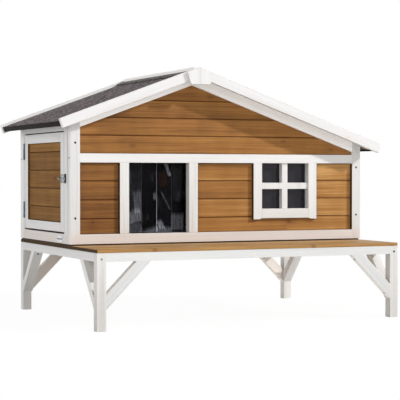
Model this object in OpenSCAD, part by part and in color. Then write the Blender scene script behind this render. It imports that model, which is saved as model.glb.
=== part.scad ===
// Outdoor cat house: a plank-clad timber cabin with an asymmetric felted roof on a braced stand.
// All sizes are millimetres. X runs along the front from left to right, Y from front to rear, Z up.
// The pieces are drawn from the stand's front left corner and moved to the middle of the whole box.

/* [Stand] */
// Width of the stand, and of the house that stands flush on it
stand_w = 1200; // [1140:5:1300]
// Depth of the stand from front to rear
stand_d = 880; // [840:5:960]
// Height of the deck's top face above the ground
deck_h = 280; // [250:5:360]
// Side of the square stand legs
leg_t = 33; // [30:1:38]
// Thickness of the deck boards
deck_t = 12; // [9:1:18]
// Number of deck boards from front to rear
deck_count = 10; // [8:1:12]
// Gap between two deck boards
deck_gap = 1.5; // [0.5:0.5:4]
// Height of the aprons between the legs
apron_h = 30; // [26:1:40]
// Thickness of the aprons
apron_t = 26; // [22:1:30]
// Number of bearers under the deck, between the front and rear aprons
bearer_count = 3; // [2:1:5]
// Width of each bearer
bearer_w = 26; // [20:1:40]
// How far each brace runs down its leg from the apron's underside
brace_drop = 165; // [130:5:190]
// How far the braces in the front and rear planes run along their apron
brace_reach_w = 165; // [130:5:220]
// How far the braces in the side planes run along their apron
brace_reach_d = 143; // [120:1:200]
// Broad side of the brace stock
brace_broad = 37; // [33:1:42]
// Thin side of the brace stock
brace_thin = 27; // [22:1:30]

/* [House frame] */
// Depth of the open terrace in front of the house
terrace_d = 274; // [220:2:320]
// Thickness of the floor panel, which lifts the frame off the deck
floor_t = 5; // [4:1:12]
// How far the floor panel's edge stays back from the house's faces
floor_inset = 4; // [4:1:20]
// Side of the square corner posts
post_t = 36; // [32:1:44]
// Thickness of the rails, stiles and gable trims between the posts
rail_t = 30; // [26:1:34]
// Height of the bottom rails
bottom_rail_h = 35; // [28:1:45]
// Height of the belt rails' underside above the top of the bottom rails
belt_rise = 259; // [240:1:270]
// Height of the belt rails
belt_h = 33; // [28:1:40]
// Width of the side walls' stiles
side_stile_w = 36; // [28:1:46]
// Width of the stile that carries the side door's hinges
hinge_stile_w = 19; // [16:1:26]
// Height of the left wall's top rail at its outer face, over the side door
left_top_rail_h = 37.3; // [30:0.1:60]
// Height of the right wall's top rail at its outer face
right_top_rail_h = 36; // [28:1:40]

/* [Cladding] */
// Thickness of the cladding planks
plank_t = 12; // [9:1:15]
// How far the planks lie behind the frame's outer face
plank_recess = 12; // [4:1:14]
// Cover width of a wall plank
wall_plank_h = 68.5; // [50:0.5:100]
// Height of the lowest plank of a wall
starter_plank_h = 55; // [40:1:90]
// Cover width of a gable plank
gable_plank_h = 65.5; // [50:0.5:90]
// Chamfer along the outer edges of every plank
plank_chamfer = 2.5; // [1:0.5:4]
// Joint left open between two planks of a stack
plank_joint = 0.4; // [0.2:0.1:1]

/* [Entrance and window] */
// Distance from the left face of the house to the entrance's left stile
entrance_x = 189; // [120:1:220]
// Clear width of the entrance
entrance_w = 239; // [200:1:260]
// Width of the stiles beside the entrance
entrance_stile_w = 36; // [28:1:44]
// Distance from the left face of the house to the window's left stile
window_x = 732; // [680:1:760]
// Clear width of the window
window_w = 201; // [160:1:230]
// Width of the window's stiles
window_stile_w = 36; // [28:1:44]
// How far the window's stiles run on below its sill rail
window_toe_h = 4.5; // [3:0.5:8]
// Width of the window stiles' toes
window_toe_w = 24; // [18:1:30]
// Height of the window's sill rail
sill_h = 36; // [28:1:44]
// Clear height of the window
window_h = 174; // [140:1:190]
// Width of the window's glazing bars
bar_w = 24; // [16:1:32]
// How far the glazing bars lie behind the frame's face
bar_recess = 6; // [2:1:10]
// Thickness of the window pane
pane_t = 2; // [2:0.5:4]
// How far the pane laps over the back of the window's frame
pane_lap = 10; // [6:1:14]

/* [Curtain] */
// Thickness of each of the four clear strips
strip_t = 2; // [1:0.5:3]
// Clearance beside each strip
strip_gap = 1; // [0.5:0.5:3]
// Clearance between the strips and the bottom rail
strip_clear = 3; // [2:1:20]
// Height of the clamp bar that holds the strips behind the belt rail
clamp_h = 20; // [14:1:26]
// Thickness of the clamp bar
clamp_t = 4; // [3:1:8]
// How far the clamp bar laps past each side of the entrance
clamp_lap = 8; // [4:1:20]

/* [Roof] */
// Distance from the left face of the house to the ridge
ridge_x = 477.5; // [430:0.5:560]
// Height of the bargeboards' top line at the ridge, above the belt rails' top
ridge_rise = 317; // [300:1:350]
// Height of the same line at the left face of the house
left_rise = 143.2; // [130:0.1:160]
// Height of the same line at the right face of the house
right_rise = 61.2; // [54:0.1:90]
// Overhang of the roof past the left face of the house
over_left = 62; // [40:1:90]
// Overhang of the roof past the right face of the house
over_right = 56; // [40:1:90]
// Overhang of the roof past the front wall
over_front = 68; // [40:1:120]
// Overhang of the roof past the rear wall
over_rear = 80; // [40:1:110]
// Width of the bargeboards, square to the slope
barge_w = 35; // [30:1:50]
// Thickness of the bargeboards
barge_t = 18; // [12:1:24]
// How far the bargeboards stand above the felt
barge_proud = 10; // [7:1:14]
// How far the bargeboards run past the roof panels at the eaves
barge_past = 4; // [2:1:12]
// Thickness of the roofing felt
felt_t = 2.5; // [2:0.5:4]
// How far the felt's fold hangs below the roof panel at the eave
fold_drop = 7; // [0:1:10]
// Thickness of the roof panels
roof_t = 10; // [8:0.5:16]
// Reach of the ridge cap down each slope, measured level
cap_reach = 46; // [36:1:80]
// Thickness of the ridge cap
cap_t = 6; // [3:0.5:8]
// Half of the ridge batten's width
batten_half = 14; // [10:1:24]
// Thickness of the ridge batten on the ridge cap
batten_t = 10; // [8:1:16]
// Width of the gable trims, square to the slope
trim_w = 35.5; // [30:0.5:44]
// Half of the apex plate's width at its foot
apex_foot = 39; // [30:1:50]
// Half of the apex plate's width at the roof line
apex_head = 54; // [50:1:70]
// Depth of the apex plate below the ridge line
apex_drop = 63; // [55:1:80]
// Thickness of the apex plate
apex_t = 10; // [8:1:14]
// Width of the ridge beam
beam_w = 30; // [24:1:40]
// Height of the ridge beam at its middle
beam_h = 44; // [36:1:60]

/* [Side door] */
// Thickness of the door's frame
door_t = 24; // [20:1:26]
// Width of the door's stiles
door_stile_w = 38; // [30:1:46]
// Height of the door's bottom rail
door_bottom_h = 34; // [30:1:46]
// Height of the door's top rail
door_top_h = 35; // [30:1:46]
// Clearance above the door
door_gap = 4; // [3:0.5:6]
// Clearance below the door
door_foot_gap = 6; // [3:0.5:8]
// Clearance at the door's latch edge
door_edge_gap = 2; // [1.5:0.5:3]
// Thickness of the door's planks
door_plank_t = 10; // [8:1:12]
// How far the door's planks lie behind its frame
door_recess = 6; // [3:1:8]
// Side of the square stop strips behind the door
stop_t = 12; // [9:1:16]

/* [Hardware] */
// Length of each butt hinge
hinge_len = 64; // [50:2:76]
// Width of a hinge leaf
hinge_leaf_w = 22; // [16:1:24]
// Thickness of a hinge leaf
hinge_leaf_t = 1; // [0.8:0.1:1.2]
// Outer radius of the hinge knuckles
knuckle_r = 3.5; // [3:0.25:4.5]
// Radius of the hinge pins
hinge_pin_r = 1.5; // [1.2:0.1:2]
// Height of the lower hinge's middle above the door's foot
hinge_low = 71.5; // [60:0.5:90]
// Distance of the upper hinge's middle below the door's top
hinge_high = 64.5; // [50:0.5:90]
// Height of the latch bolt above the door's foot
latch_rise = 195; // [170:1:220]
// Radius of the latch bolt
bolt_r = 3; // [2.5:0.25:4]
// Travel of the latch bolt
bolt_travel = 12; // [10:1:14]
// Height of the latch plate
latch_plate_h = 34; // [28:1:44]
// Radius of a screw's head
screw_head_r = 4; // [3:0.25:5]
// How far the frame screws run on into the second timber
screw_bite = 14; // [8:1:15]
// Length of the screws through the braces
brace_screw_len = 50; // [45:1:54]
// Length of the fixing plate on the left bottom rail
plate_len = 57; // [40:1:80]
// Height of the fixing plate
plate_h = 22; // [16:1:26]

/* [Hidden] */

// Colours of the finishes
white_paint = [0.92, 0.91, 0.89];
brown_stain = [0.66, 0.46, 0.26];
deck_stain = [0.68, 0.52, 0.33];
raw_timber = [0.80, 0.70, 0.54];
felt_grey = [0.38, 0.35, 0.36];
cap_grey = [0.33, 0.32, 0.32];
zinc = [0.72, 0.74, 0.76];
dark_steel = [0.25, 0.25, 0.27];
clear_sheet = [0.75, 0.80, 0.85, 0.4];

// Smoothness of round pieces
$fn = 32;

// Middle of the whole object, which becomes the origin
x_mid = (stand_w + over_right - over_left) / 2;
y_mid = (stand_d + over_rear) / 2;

// Heights of the stand
deck_under = deck_h - deck_t;
apron_z = deck_under - apron_h;
deck_pitch = (stand_d + deck_gap) / deck_count;

// Levels and faces of the house
base_z = deck_h + floor_t;
sill_z = base_z + bottom_rail_h;
belt_z = sill_z + belt_rise;
gable_z = belt_z + belt_h;
front_y = terrace_d;
rear_y = stand_d;
front_in = front_y + rail_t;
rear_in = rear_y - rail_t;
front_post_y = front_y + post_t;
rear_post_y = rear_y - post_t;
right_post_x = stand_w - post_t;

// Entrance and window, measured from the left face of the house
entrance_left = entrance_x + entrance_stile_w;
entrance_right = entrance_left + entrance_w;
entrance_end = entrance_right + entrance_stile_w;
window_left = window_x + window_stile_w;
window_right = window_left + window_w;
window_end = window_right + window_stile_w;
window_foot = belt_z - window_h;
window_base = window_foot - sill_h;
window_toe_z = window_base - window_toe_h;
toe_clear = 0.2;

// Curtain strips
strip_count = 4;
strip_w = (entrance_w - strip_gap * (strip_count + 1)) / strip_count;
strip_back = 1;
strip_y = front_in + strip_back + strip_t / 2;
strip_seat = 0.3;
strip_axis_z = belt_z - strip_seat - strip_t / 2;

// Ridge and pitches of the roof
ridge_h = gable_z + ridge_rise;
pitch_left = atan2(ridge_rise - left_rise, ridge_x);
pitch_right = atan2(ridge_rise - right_rise, stand_w - ridge_x);

// Roof layers, as depths below the bargeboards' top line
felt_top = barge_proud;
panel_top = felt_top + felt_t;
panel_under = panel_top + roof_t;
fold_under = panel_under + fold_drop;
trim_under = panel_under + trim_w;
cap_top = felt_top - cap_t;
cap_clear = 0.05;
roof_front = front_y - over_front;
roof_rear = rear_y + over_rear;
sheet_front = roof_front + barge_t;
sheet_rear = roof_rear - barge_t;

// Side door
hinge_play = 0.6;
hinge_gap = 2 * hinge_leaf_t + hinge_play;
opening_front = front_post_y + side_stile_w;
opening_rear = rear_post_y - hinge_stile_w;
door_front = opening_front + door_edge_gap;
door_rear = opening_rear - hinge_gap;
left_rail_z = roof_line(0, panel_under) - left_top_rail_h;
door_foot = sill_z + door_foot_gap;
door_top = left_rail_z - door_gap;
door_panel_z = door_foot + door_bottom_h;
door_panel_top = door_top - door_top_h;
stop_back = 0.5;
stop_joint = 0.5;

// Hinges and latch
hinge_x = -knuckle_r;
hinge_y = opening_rear - hinge_gap / 2;
hinge_levels = [door_foot + hinge_low, door_top - hinge_high];
knuckle_len = hinge_len / 3;
knuckle_gap = 0.3;
pin_clear = 0.05;
latch_z = door_foot + latch_rise;
latch_plate_t = 1.2;
guide_len = 5;
guide_wall = 2.5;
bolt_clear = 0.08;
plate_in = 2;
plate_front = door_front + plate_in;
knob_room = 8;
plate_back = plate_front + 2 * guide_len + bolt_travel + knob_room;
bolt_back = 1;
keeper_out = 14;
keeper_start = opening_front - keeper_out;
keeper_len = 8;
keeper_flange = 11;
keeper_lip = 2;
keeper_clear = 0.4;
bolt_x = -(bolt_r + keeper_clear + guide_wall);
knob_len = 4;
knob_r = 2.2;
knob_out = 9;
fixing_in = 17;
fixing_y = opening_front + fixing_in;
fixing_up = 4;
fixing_z = base_z + fixing_up;
fixing_t = 1.5;

// Where a brace's screws leave its end faces, as shares of a face from its outer edge
front_brace_share = 0.7;
side_brace_share = 0.6;

// Screws
screw_r = 2;
screw_head_t = 1.2;
hole_clear = 0.1;
leg_screw_up = 9;
post_screw_rise = 93;
post_screw_drop = 88;
post_screw_drop_right = 92;
short_screw_len = 20;

// Height of the line at a depth below the bargeboards' top line, on the left or right slope
function left_line(x, depth) =
    ridge_h - (ridge_x - x) * tan(pitch_left) - depth / cos(pitch_left);
function right_line(x, depth) =
    ridge_h - (x - ridge_x) * tan(pitch_right) - depth / cos(pitch_right);
function roof_line(x, depth) = x < ridge_x ? left_line(x, depth) : right_line(x, depth);
// The lower of the two lines at the ridge
function ridge_low(depth) = min(left_line(ridge_x, depth), right_line(ridge_x, depth));
// The crossing of the two lines, in X and Z
function apex_x(depth) =
    ridge_x + depth * (1 / cos(pitch_left) - 1 / cos(pitch_right)) / (tan(pitch_left) + tan(pitch_right));
function apex(depth) = [apex_x(depth), left_line(apex_x(depth), depth)];

// Plank edges from one height to another, with the lowest plank's own height
function plank_edges(low, high, first, step) =
    [low, for (z = [low + first : step : high - 1]) z, high];

// Plank edges of the walls under the belt rails
wall_edges = plank_edges(sill_z, belt_z, starter_plank_h, wall_plank_h);

// Slope lengths from the ridge to the bargeboards' ends
slope_left = (ridge_x + over_left) / cos(pitch_left);
slope_right = (stand_w - ridge_x + over_right) / cos(pitch_right);

// Right wall and rear wall
right_wall_x = stand_w - rail_t;
right_stile_y = rear_post_y - side_stile_w;
right_top_z = roof_line(stand_w, panel_under) - right_top_rail_h;
stud_x = (stand_w - post_t) / 2;

// Moves a piece from the stand's corner to the origin in the middle of the whole box
module placed() {
    translate([-x_mid, -y_mid, 0])
        children();
}

// A box between two corners
module block(low, high) {
    translate(low)
        cube(high - low);
}

// An outline in X and Z, extended along Y
module across(y_low, y_high) {
    translate([0, y_high, 0])
        rotate([90, 0, 0])
            linear_extrude(y_high - y_low)
                children();
}

// Children at one corner of the stand, with +X and +Y pointing inwards
module at_corner(right, rear) {
    translate([right ? stand_w : 0, rear ? stand_d : 0, 0])
        mirror([right ? 1 : 0, 0, 0])
            mirror([0, rear ? 1 : 0, 0])
                children();
}

// Children at all four corners
module at_corners() {
    for (right = [false, true])
        for (rear = [false, true])
            at_corner(right, rear)
                children();
}

// One screw from its head at the origin into +Z, or its hole with some clearance
module screw(length, clear = 0) {
    cylinder(h = screw_head_t + clear, r = screw_head_r + clear);
    cylinder(h = length + clear, r = screw_r + clear);
}

// Side view of a brace: a drop down the leg, a reach along the apron, and its own width
module brace_outline(drop, reach, width) {
    slope = atan2(drop, reach);
    polygon([[0, -drop], [reach, 0], [reach - width / sin(slope), 0], [0, width / cos(slope) - drop]]);
}

// The two screws square to the lower face of a brace, which leave at a share of its end faces
module brace_screws(drop, reach, width, share, middle, clear) {
    slope = atan2(drop, reach);
    along = sqrt(drop * drop + reach * reach);
    for (at = [share * width * tan(slope), along - share * width / tan(slope)])
        translate([at * cos(slope), middle, at * sin(slope) - drop])
            rotate([0, -slope, 0])
                screw(brace_screw_len, clear);
}

// Every screw at one corner of the stand
module corner_screws(clear = 0) {
    translate([leg_t / 2, 0, apron_z + leg_screw_up])
        rotate([-90, 0, 0])
            screw(leg_t + screw_bite, clear);
    translate([leg_t, 0, apron_z])
        brace_screws(brace_drop, brace_reach_w, brace_broad, front_brace_share, brace_thin / 2, clear);
    translate([0, leg_t, apron_z])
        mirror([1, -1, 0])
            brace_screws(brace_drop, brace_reach_d, brace_thin, side_brace_share, brace_broad / 2, clear);
}

// Heights of the two face screws of the post whose middle is at x
function post_screw_levels(x) =
    [base_z + post_screw_rise,
     roof_line(x, panel_under) - (x < ridge_x ? post_screw_drop : post_screw_drop_right)];

// Every screw in the posts of the house
module post_screws(clear = 0) {
    for (x = [post_t / 2, stand_w - post_t / 2])
        for (z = post_screw_levels(x)) {
            translate([x, front_y, z])
                rotate([-90, 0, 0])
                    screw(post_t + screw_bite, clear);
            translate([x, rear_y, z])
                rotate([90, 0, 0])
                    screw(post_t + screw_bite, clear);
        }
    for (y = [front_y + rail_t / 2, rear_y - rail_t / 2]) {
        translate([0, y, belt_z + belt_h / 2])
            rotate([0, 90, 0])
                screw(post_t + screw_bite, clear);
        translate([stand_w, y, belt_z + belt_h / 2])
            rotate([0, -90, 0])
                screw(post_t + screw_bite, clear);
    }
}

// The two short screws of the fixing plate
module plate_screws(clear = 0) {
    for (y = [fixing_y + plate_len / 4, fixing_y + plate_len * 3 / 4])
        translate([-fixing_t, y, fixing_z + plate_h / 2])
            rotate([0, 90, 0])
                screw(short_screw_len, clear);
}

// One stand leg with the holes for its screws
module leg(right, rear) {
    color(white_paint)
        placed()
            at_corner(right, rear)
                difference() {
                    cube([leg_t, leg_t, deck_under]);
                    corner_screws(hole_clear);
                }
}

module leg_front_left() leg(false, false);
module leg_front_right() leg(true, false);
module leg_rear_left() leg(false, true);
module leg_rear_right() leg(true, true);

// One apron between two corners of the stand, drilled for the screws at its ends
module apron(low, high) {
    color(white_paint)
        placed()
            difference() {
                block(low, high);
                at_corners()
                    corner_screws(hole_clear);
            }
}

module apron_front() {
    apron([leg_t, 0, apron_z], [stand_w - leg_t, apron_t, deck_under]);
}

module apron_rear() {
    apron([leg_t, stand_d - apron_t, apron_z], [stand_w - leg_t, stand_d, deck_under]);
}

module side_aprons() {
    apron([0, leg_t, apron_z], [apron_t, stand_d - leg_t, deck_under]);
    apron([stand_w - apron_t, leg_t, apron_z], [stand_w, stand_d - leg_t, deck_under]);
}

module front_rear_braces() {
    color(white_paint)
        placed()
            at_corners()
                difference() {
                    translate([leg_t, 0, apron_z])
                        across(0, brace_thin)
                            brace_outline(brace_drop, brace_reach_w, brace_broad);
                    corner_screws(hole_clear);
                }
}

module side_braces() {
    color(white_paint)
        placed()
            at_corners()
                difference() {
                    translate([0, leg_t, apron_z])
                        mirror([1, -1, 0])
                            across(0, brace_broad)
                                brace_outline(brace_drop, brace_reach_d, brace_thin);
                    corner_screws(hole_clear);
                }
}

module deck_bearers() {
    color(raw_timber)
        placed()
            for (i = [1 : bearer_count]) {
                middle = stand_w * i / (bearer_count + 1);
                block([middle - bearer_w / 2, apron_t, apron_z],
                      [middle + bearer_w / 2, stand_d - apron_t, deck_under]);
            }
}

module deck_boards() {
    color(deck_stain)
        placed()
            for (i = [0 : deck_count - 1])
                block([0, i * deck_pitch, deck_under],
                      [stand_w, (i + 1) * deck_pitch - deck_gap, deck_h]);
}

module floor_panel() {
    color(raw_timber)
        placed()
            block([floor_inset, front_y + floor_inset, deck_h],
                  [stand_w - floor_inset, rear_y - floor_inset, base_z]);
}

// Outline of an upright whose top follows the underside of the roof
module upright_outline(x_low, x_high, foot) {
    polygon([[x_low, foot], [x_high, foot],
             [x_high, roof_line(x_high, panel_under)], [x_low, roof_line(x_low, panel_under)]]);
}

// One corner post, drilled for its screws
module post(x_low, y_low) {
    color(white_paint)
        placed()
            difference() {
                across(y_low, y_low + post_t)
                    upright_outline(x_low, x_low + post_t, base_z);
                post_screws(hole_clear);
            }
}

module post_front_left() post(0, front_y);
module post_front_right() post(right_post_x, front_y);
module post_rear_left() post(0, rear_post_y);
module post_rear_right() post(right_post_x, rear_post_y);

// The bottom rail, the belt rail and the window's sill rail of the front wall
module front_rails() {
    color(white_paint)
        placed()
            difference() {
                union() {
                    block([post_t, front_y, base_z], [right_post_x, front_in, sill_z]);
                    block([post_t, front_y, belt_z], [right_post_x, front_in, gable_z]);
                    block([window_left, front_y, window_base], [window_right, front_in, window_foot]);
                }
                post_screws(hole_clear);
            }
}

module entrance_stiles() {
    color(white_paint)
        placed()
            for (x = [entrance_x, entrance_right])
                block([x, front_y, sill_z], [x + entrance_stile_w, front_in, belt_z]);
}

// The two trims of one gable, between the posts and the ridge
module gable_trims(y_low, y_high) {
    color(white_paint)
        placed()
            across(y_low, y_high) {
                polygon([[post_t, left_line(post_t, panel_under)],
                         [ridge_x, left_line(ridge_x, panel_under)],
                         [ridge_x, left_line(ridge_x, trim_under)],
                         [post_t, left_line(post_t, trim_under)]]);
                polygon([[right_post_x, right_line(right_post_x, panel_under)],
                         [ridge_x, right_line(ridge_x, panel_under)],
                         [ridge_x, right_line(ridge_x, trim_under)],
                         [right_post_x, right_line(right_post_x, trim_under)]]);
            }
}

module front_gable_trims() gable_trims(front_y, front_in);

// A plank along +X with its face towards -Y, chamfered along both outer edges
module plank(length, low, high, thick) {
    translate([0, 0, low])
        rotate([90, 0, 90])
            linear_extrude(length)
                polygon([[plank_chamfer, 0], [thick, 0], [thick, high - low], [plank_chamfer, high - low],
                         [0, high - low - plank_chamfer], [0, plank_chamfer]]);
}

// A stack of planks between two heights, with an open joint under every plank but the lowest
module plank_stack(length, edges, thick) {
    for (i = [0 : len(edges) - 2])
        plank(length, edges[i] + (i > 0 ? plank_joint : 0), edges[i + 1], thick);
}

// Outline of a gable's cladding, under the trims
module gable_outline() {
    polygon([[post_t, gable_z], [right_post_x, gable_z],
             [right_post_x, right_line(right_post_x, trim_under)],
             [ridge_x, ridge_low(trim_under)],
             [post_t, left_line(post_t, trim_under)]]);
}

// The cladding of a gable with its face towards -Y at y = 0, drawn from the left face of the house
module gable_cladding() {
    intersection() {
        translate([post_t, 0, 0])
            plank_stack(right_post_x - post_t,
                        plank_edges(gable_z, ridge_low(trim_under), gable_plank_h, gable_plank_h),
                        plank_t);
        across(-1, plank_t + 1)
            gable_outline();
    }
}

module front_gable_planks() {
    color(brown_stain)
        placed()
            translate([0, front_y + plank_recess, 0])
                gable_cladding();
}

// Outline that the window takes out of the planks, a hair clear of the bevelled toes
module window_outline() {
    polygon([[window_x, belt_z + 1], [window_x, window_toe_z],
             [window_x + window_toe_w + toe_clear, window_toe_z],
             [window_left + toe_clear, window_base], [window_right - toe_clear, window_base],
             [window_end - window_toe_w - toe_clear, window_toe_z],
             [window_end, window_toe_z], [window_end, belt_z + 1]]);
}

module front_wall_planks() {
    color(brown_stain)
        placed()
            translate([0, front_y + plank_recess, 0]) {
                translate([post_t, 0, 0])
                    plank_stack(entrance_x - post_t, wall_edges, plank_t);
                difference() {
                    translate([entrance_end, 0, 0])
                        plank_stack(right_post_x - entrance_end, wall_edges, plank_t);
                    across(-1, plank_t + 1)
                        window_outline();
                }
            }
}

// Outline of one window stile, whose toe is bevelled towards the sill rail
module window_stile_outline(outer, inner) {
    way = sign(inner - outer);
    polygon([[outer, window_toe_z], [outer + way * window_toe_w, window_toe_z],
             [inner, window_base], [inner, belt_z], [outer, belt_z]]);
}

module window_stiles() {
    color(white_paint)
        placed()
            across(front_y, front_in) {
                window_stile_outline(window_x, window_left);
                window_stile_outline(window_end, window_right);
            }
}

module window_bars() {
    bar_x = (window_left + window_right - bar_w) / 2;
    bar_z = (window_foot + belt_z - bar_w) / 2;
    color(white_paint)
        placed()
            union() {
                block([bar_x, front_y + bar_recess, window_foot], [bar_x + bar_w, front_in, belt_z]);
                block([window_left, front_y + bar_recess, bar_z], [window_right, front_in, bar_z + bar_w]);
            }
}

module window_pane() {
    color(clear_sheet)
        placed()
            block([window_left - pane_lap, front_in, window_foot - pane_lap],
                  [window_right + pane_lap, front_in + pane_t, belt_z + pane_lap]);
}

module left_rails() {
    color(white_paint)
        placed()
            difference() {
                union() {
                    block([0, opening_front, base_z], [rail_t, opening_rear, sill_z]);
                    across(opening_front, opening_rear)
                        upright_outline(0, rail_t, left_rail_z);
                }
                plate_screws(hole_clear);
            }
}

module left_stiles() {
    color(white_paint)
        placed()
            difference() {
                union() {
                    across(front_post_y, opening_front)
                        upright_outline(0, rail_t, base_z);
                    across(opening_rear, rear_post_y)
                        upright_outline(0, rail_t, base_z);
                }
                post_screws(hole_clear);
            }
}

// The stop strips behind the door's latch edge and behind its top
module door_stops() {
    stop_x = door_t + stop_back;
    color(white_paint)
        placed() {
            block([stop_x, opening_front, sill_z], [stop_x + stop_t, opening_front + stop_t, left_rail_z]);
            block([stop_x, opening_front + stop_t + stop_joint, left_rail_z - stop_t],
                  [stop_x + stop_t, opening_rear, left_rail_z]);
        }
}

module right_stiles() {
    color(white_paint)
        placed()
            difference() {
                for (y = [front_post_y, right_stile_y])
                    across(y, y + side_stile_w)
                        upright_outline(right_wall_x, stand_w, base_z);
                post_screws(hole_clear);
            }
}

module right_rails() {
    color(white_paint)
        placed() {
            block([right_wall_x, opening_front, base_z], [stand_w, right_stile_y, sill_z]);
            across(opening_front, right_stile_y)
                upright_outline(right_wall_x, stand_w, right_top_z);
        }
}

module right_wall_planks() {
    color(brown_stain)
        placed()
            translate([stand_w - plank_recess, opening_front, 0])
                rotate([0, 0, 90])
                    plank_stack(right_stile_y - opening_front,
                                plank_edges(sill_z, right_top_z, starter_plank_h, wall_plank_h), plank_t);
}

module rear_rails() {
    color(white_paint)
        placed()
            difference() {
                for (span = [[base_z, sill_z], [belt_z, gable_z]])
                    block([post_t, rear_in, span[0]], [right_post_x, rear_y, span[1]]);
                post_screws(hole_clear);
            }
}

module rear_stud() {
    color(white_paint)
        placed()
            block([stud_x, rear_in, sill_z], [stud_x + post_t, rear_y, belt_z]);
}

module rear_gable_trims() gable_trims(rear_in, rear_y);

module rear_planks() {
    color(brown_stain)
        placed()
            translate([0, rear_y - plank_recess, 0])
                mirror([0, 1, 0]) {
                    gable_cladding();
                    translate([post_t, 0, 0])
                        plank_stack(stud_x - post_t, wall_edges, plank_t);
                    translate([stud_x + post_t, 0, 0])
                        plank_stack(right_post_x - stud_x - post_t, wall_edges, plank_t);
                }
}

module ridge_beam() {
    color(raw_timber)
        placed()
            across(front_in, rear_in)
                polygon([[ridge_x - beam_w / 2, ridge_low(panel_under) - beam_h],
                         [ridge_x + beam_w / 2, ridge_low(panel_under) - beam_h],
                         [ridge_x + beam_w / 2, right_line(ridge_x + beam_w / 2, panel_under)],
                         [ridge_x, ridge_low(panel_under)],
                         [ridge_x - beam_w / 2, left_line(ridge_x - beam_w / 2, panel_under)]]);
}

// Moves an outline drawn along +X below the ridge line onto the left or right slope
module on_slope(right, y_low, y_high) {
    pitch = right ? pitch_right : pitch_left;
    translate([ridge_x, 0, ridge_h])
        mirror([right ? 0 : 1, 0, 0])
            across(y_low, y_high)
                rotate(-pitch)
                    children();
}

// A layer of a slope between two depths, cut plumb at the ridge and square at the eave
module slope_layer(right, top, under, length) {
    pitch = right ? pitch_right : pitch_left;
    polygon([[top * tan(pitch), -top], [length, -top], [length, -under], [under * tan(pitch), -under]]);
}

module roof_panel(right) {
    length = (right ? slope_right : slope_left) - barge_past - felt_t;
    color(raw_timber)
        placed()
            on_slope(right, sheet_front, sheet_rear)
                slope_layer(right, panel_top, panel_under, length);
}

module roof_panel_left() roof_panel(false);
module roof_panel_right() roof_panel(true);

// The felt of one slope, folded down over the end of the roof panel at the eave
module roof_felt(right) {
    pitch = right ? pitch_right : pitch_left;
    length = (right ? slope_right : slope_left) - barge_past;
    color(felt_grey)
        placed()
            on_slope(right, sheet_front, sheet_rear)
                polygon([[felt_top * tan(pitch), -felt_top], [length, -felt_top], [length, -fold_under],
                         [length - felt_t, -fold_under], [length - felt_t, -panel_top],
                         [panel_top * tan(pitch), -panel_top]]);
}

module roof_felt_left() roof_felt(false);
module roof_felt_right() roof_felt(true);

module ridge_cap() {
    low_x = ridge_x - cap_reach;
    high_x = ridge_x + cap_reach;
    under = felt_top - cap_clear;
    color(cap_grey)
        placed()
            across(sheet_front, sheet_rear)
                polygon([[low_x, left_line(low_x, under)], [low_x, left_line(low_x, cap_top)],
                         apex(cap_top),
                         [high_x, right_line(high_x, cap_top)], [high_x, right_line(high_x, under)],
                         apex(under)]);
}

// The batten along the ridge, with a hollow foot over the cap and a gabled top
module ridge_batten() {
    low_x = ridge_x - batten_half;
    high_x = ridge_x + batten_half;
    color(white_paint)
        placed()
            across(sheet_front, sheet_rear)
                polygon([[low_x, left_line(low_x, cap_top)], apex(cap_top),
                         [high_x, right_line(high_x, cap_top)],
                         [high_x, right_line(high_x, cap_top) + batten_t],
                         apex(cap_top) + [0, batten_t],
                         [low_x, left_line(low_x, cap_top) + batten_t]]);
}

// A pair of bargeboards that meet plumb at the ridge
module bargeboards(y_low) {
    color(white_paint)
        placed() {
            on_slope(false, y_low, y_low + barge_t)
                slope_layer(false, 0, barge_w, slope_left);
            on_slope(true, y_low, y_low + barge_t)
                slope_layer(true, 0, barge_w, slope_right);
        }
}

module front_bargeboards() bargeboards(roof_front);
module rear_bargeboards() bargeboards(sheet_rear);

module apex_outline() {
    low_x = ridge_x - apex_head;
    high_x = ridge_x + apex_head;
    polygon([[ridge_x - apex_foot, ridge_h - apex_drop], [ridge_x + apex_foot, ridge_h - apex_drop],
             [high_x, right_line(high_x, 0)], [ridge_x, ridge_h], [low_x, left_line(low_x, 0)]]);
}

// The plate over the joint of the front bargeboards
module apex_plate() {
    color(white_paint)
        placed()
            across(roof_front - apex_t, roof_front)
                apex_outline();
}

module door_stiles() {
    color(white_paint)
        placed()
            for (y = [door_front, door_rear - door_stile_w])
                block([0, y, door_foot], [door_t, y + door_stile_w, door_top]);
}

module door_rails() {
    y_low = door_front + door_stile_w;
    y_high = door_rear - door_stile_w;
    color(white_paint)
        placed() {
            block([0, y_low, door_foot], [door_t, y_high, door_panel_z]);
            block([0, y_low, door_panel_top], [door_t, y_high, door_top]);
        }
}

module door_planks() {
    length = door_rear - door_front - 2 * door_stile_w;
    color(brown_stain)
        placed()
            translate([door_recess, door_rear - door_stile_w, 0])
                rotate([0, 0, -90])
                    plank_stack(length,
                                plank_edges(door_panel_z, door_panel_top, starter_plank_h, wall_plank_h),
                                door_plank_t);
}

// One knuckle of a hinge with its bore, and the tab that joins it to a leaf at offset y
module knuckle(low, high, leaf_y) {
    difference() {
        union() {
            translate([0, 0, low])
                cylinder(h = high - low, r = knuckle_r);
            translate([0, leaf_y, low])
                cube([knuckle_r + hinge_play, hinge_leaf_t, high - low]);
        }
        translate([0, 0, low - 1])
            cylinder(h = high - low + 2, r = hinge_pin_r + pin_clear);
    }
}

// A hinge leaf beside the hinge axis, at offset y, with the knuckles between the listed heights
module hinge_leaf(leaf_y, knuckles) {
    union() {
        translate([knuckle_r + hinge_play, leaf_y, -hinge_len / 2])
            cube([hinge_leaf_w, hinge_leaf_t, hinge_len]);
        for (span = knuckles)
            knuckle(span[0], span[1], leaf_y);
    }
}

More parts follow.
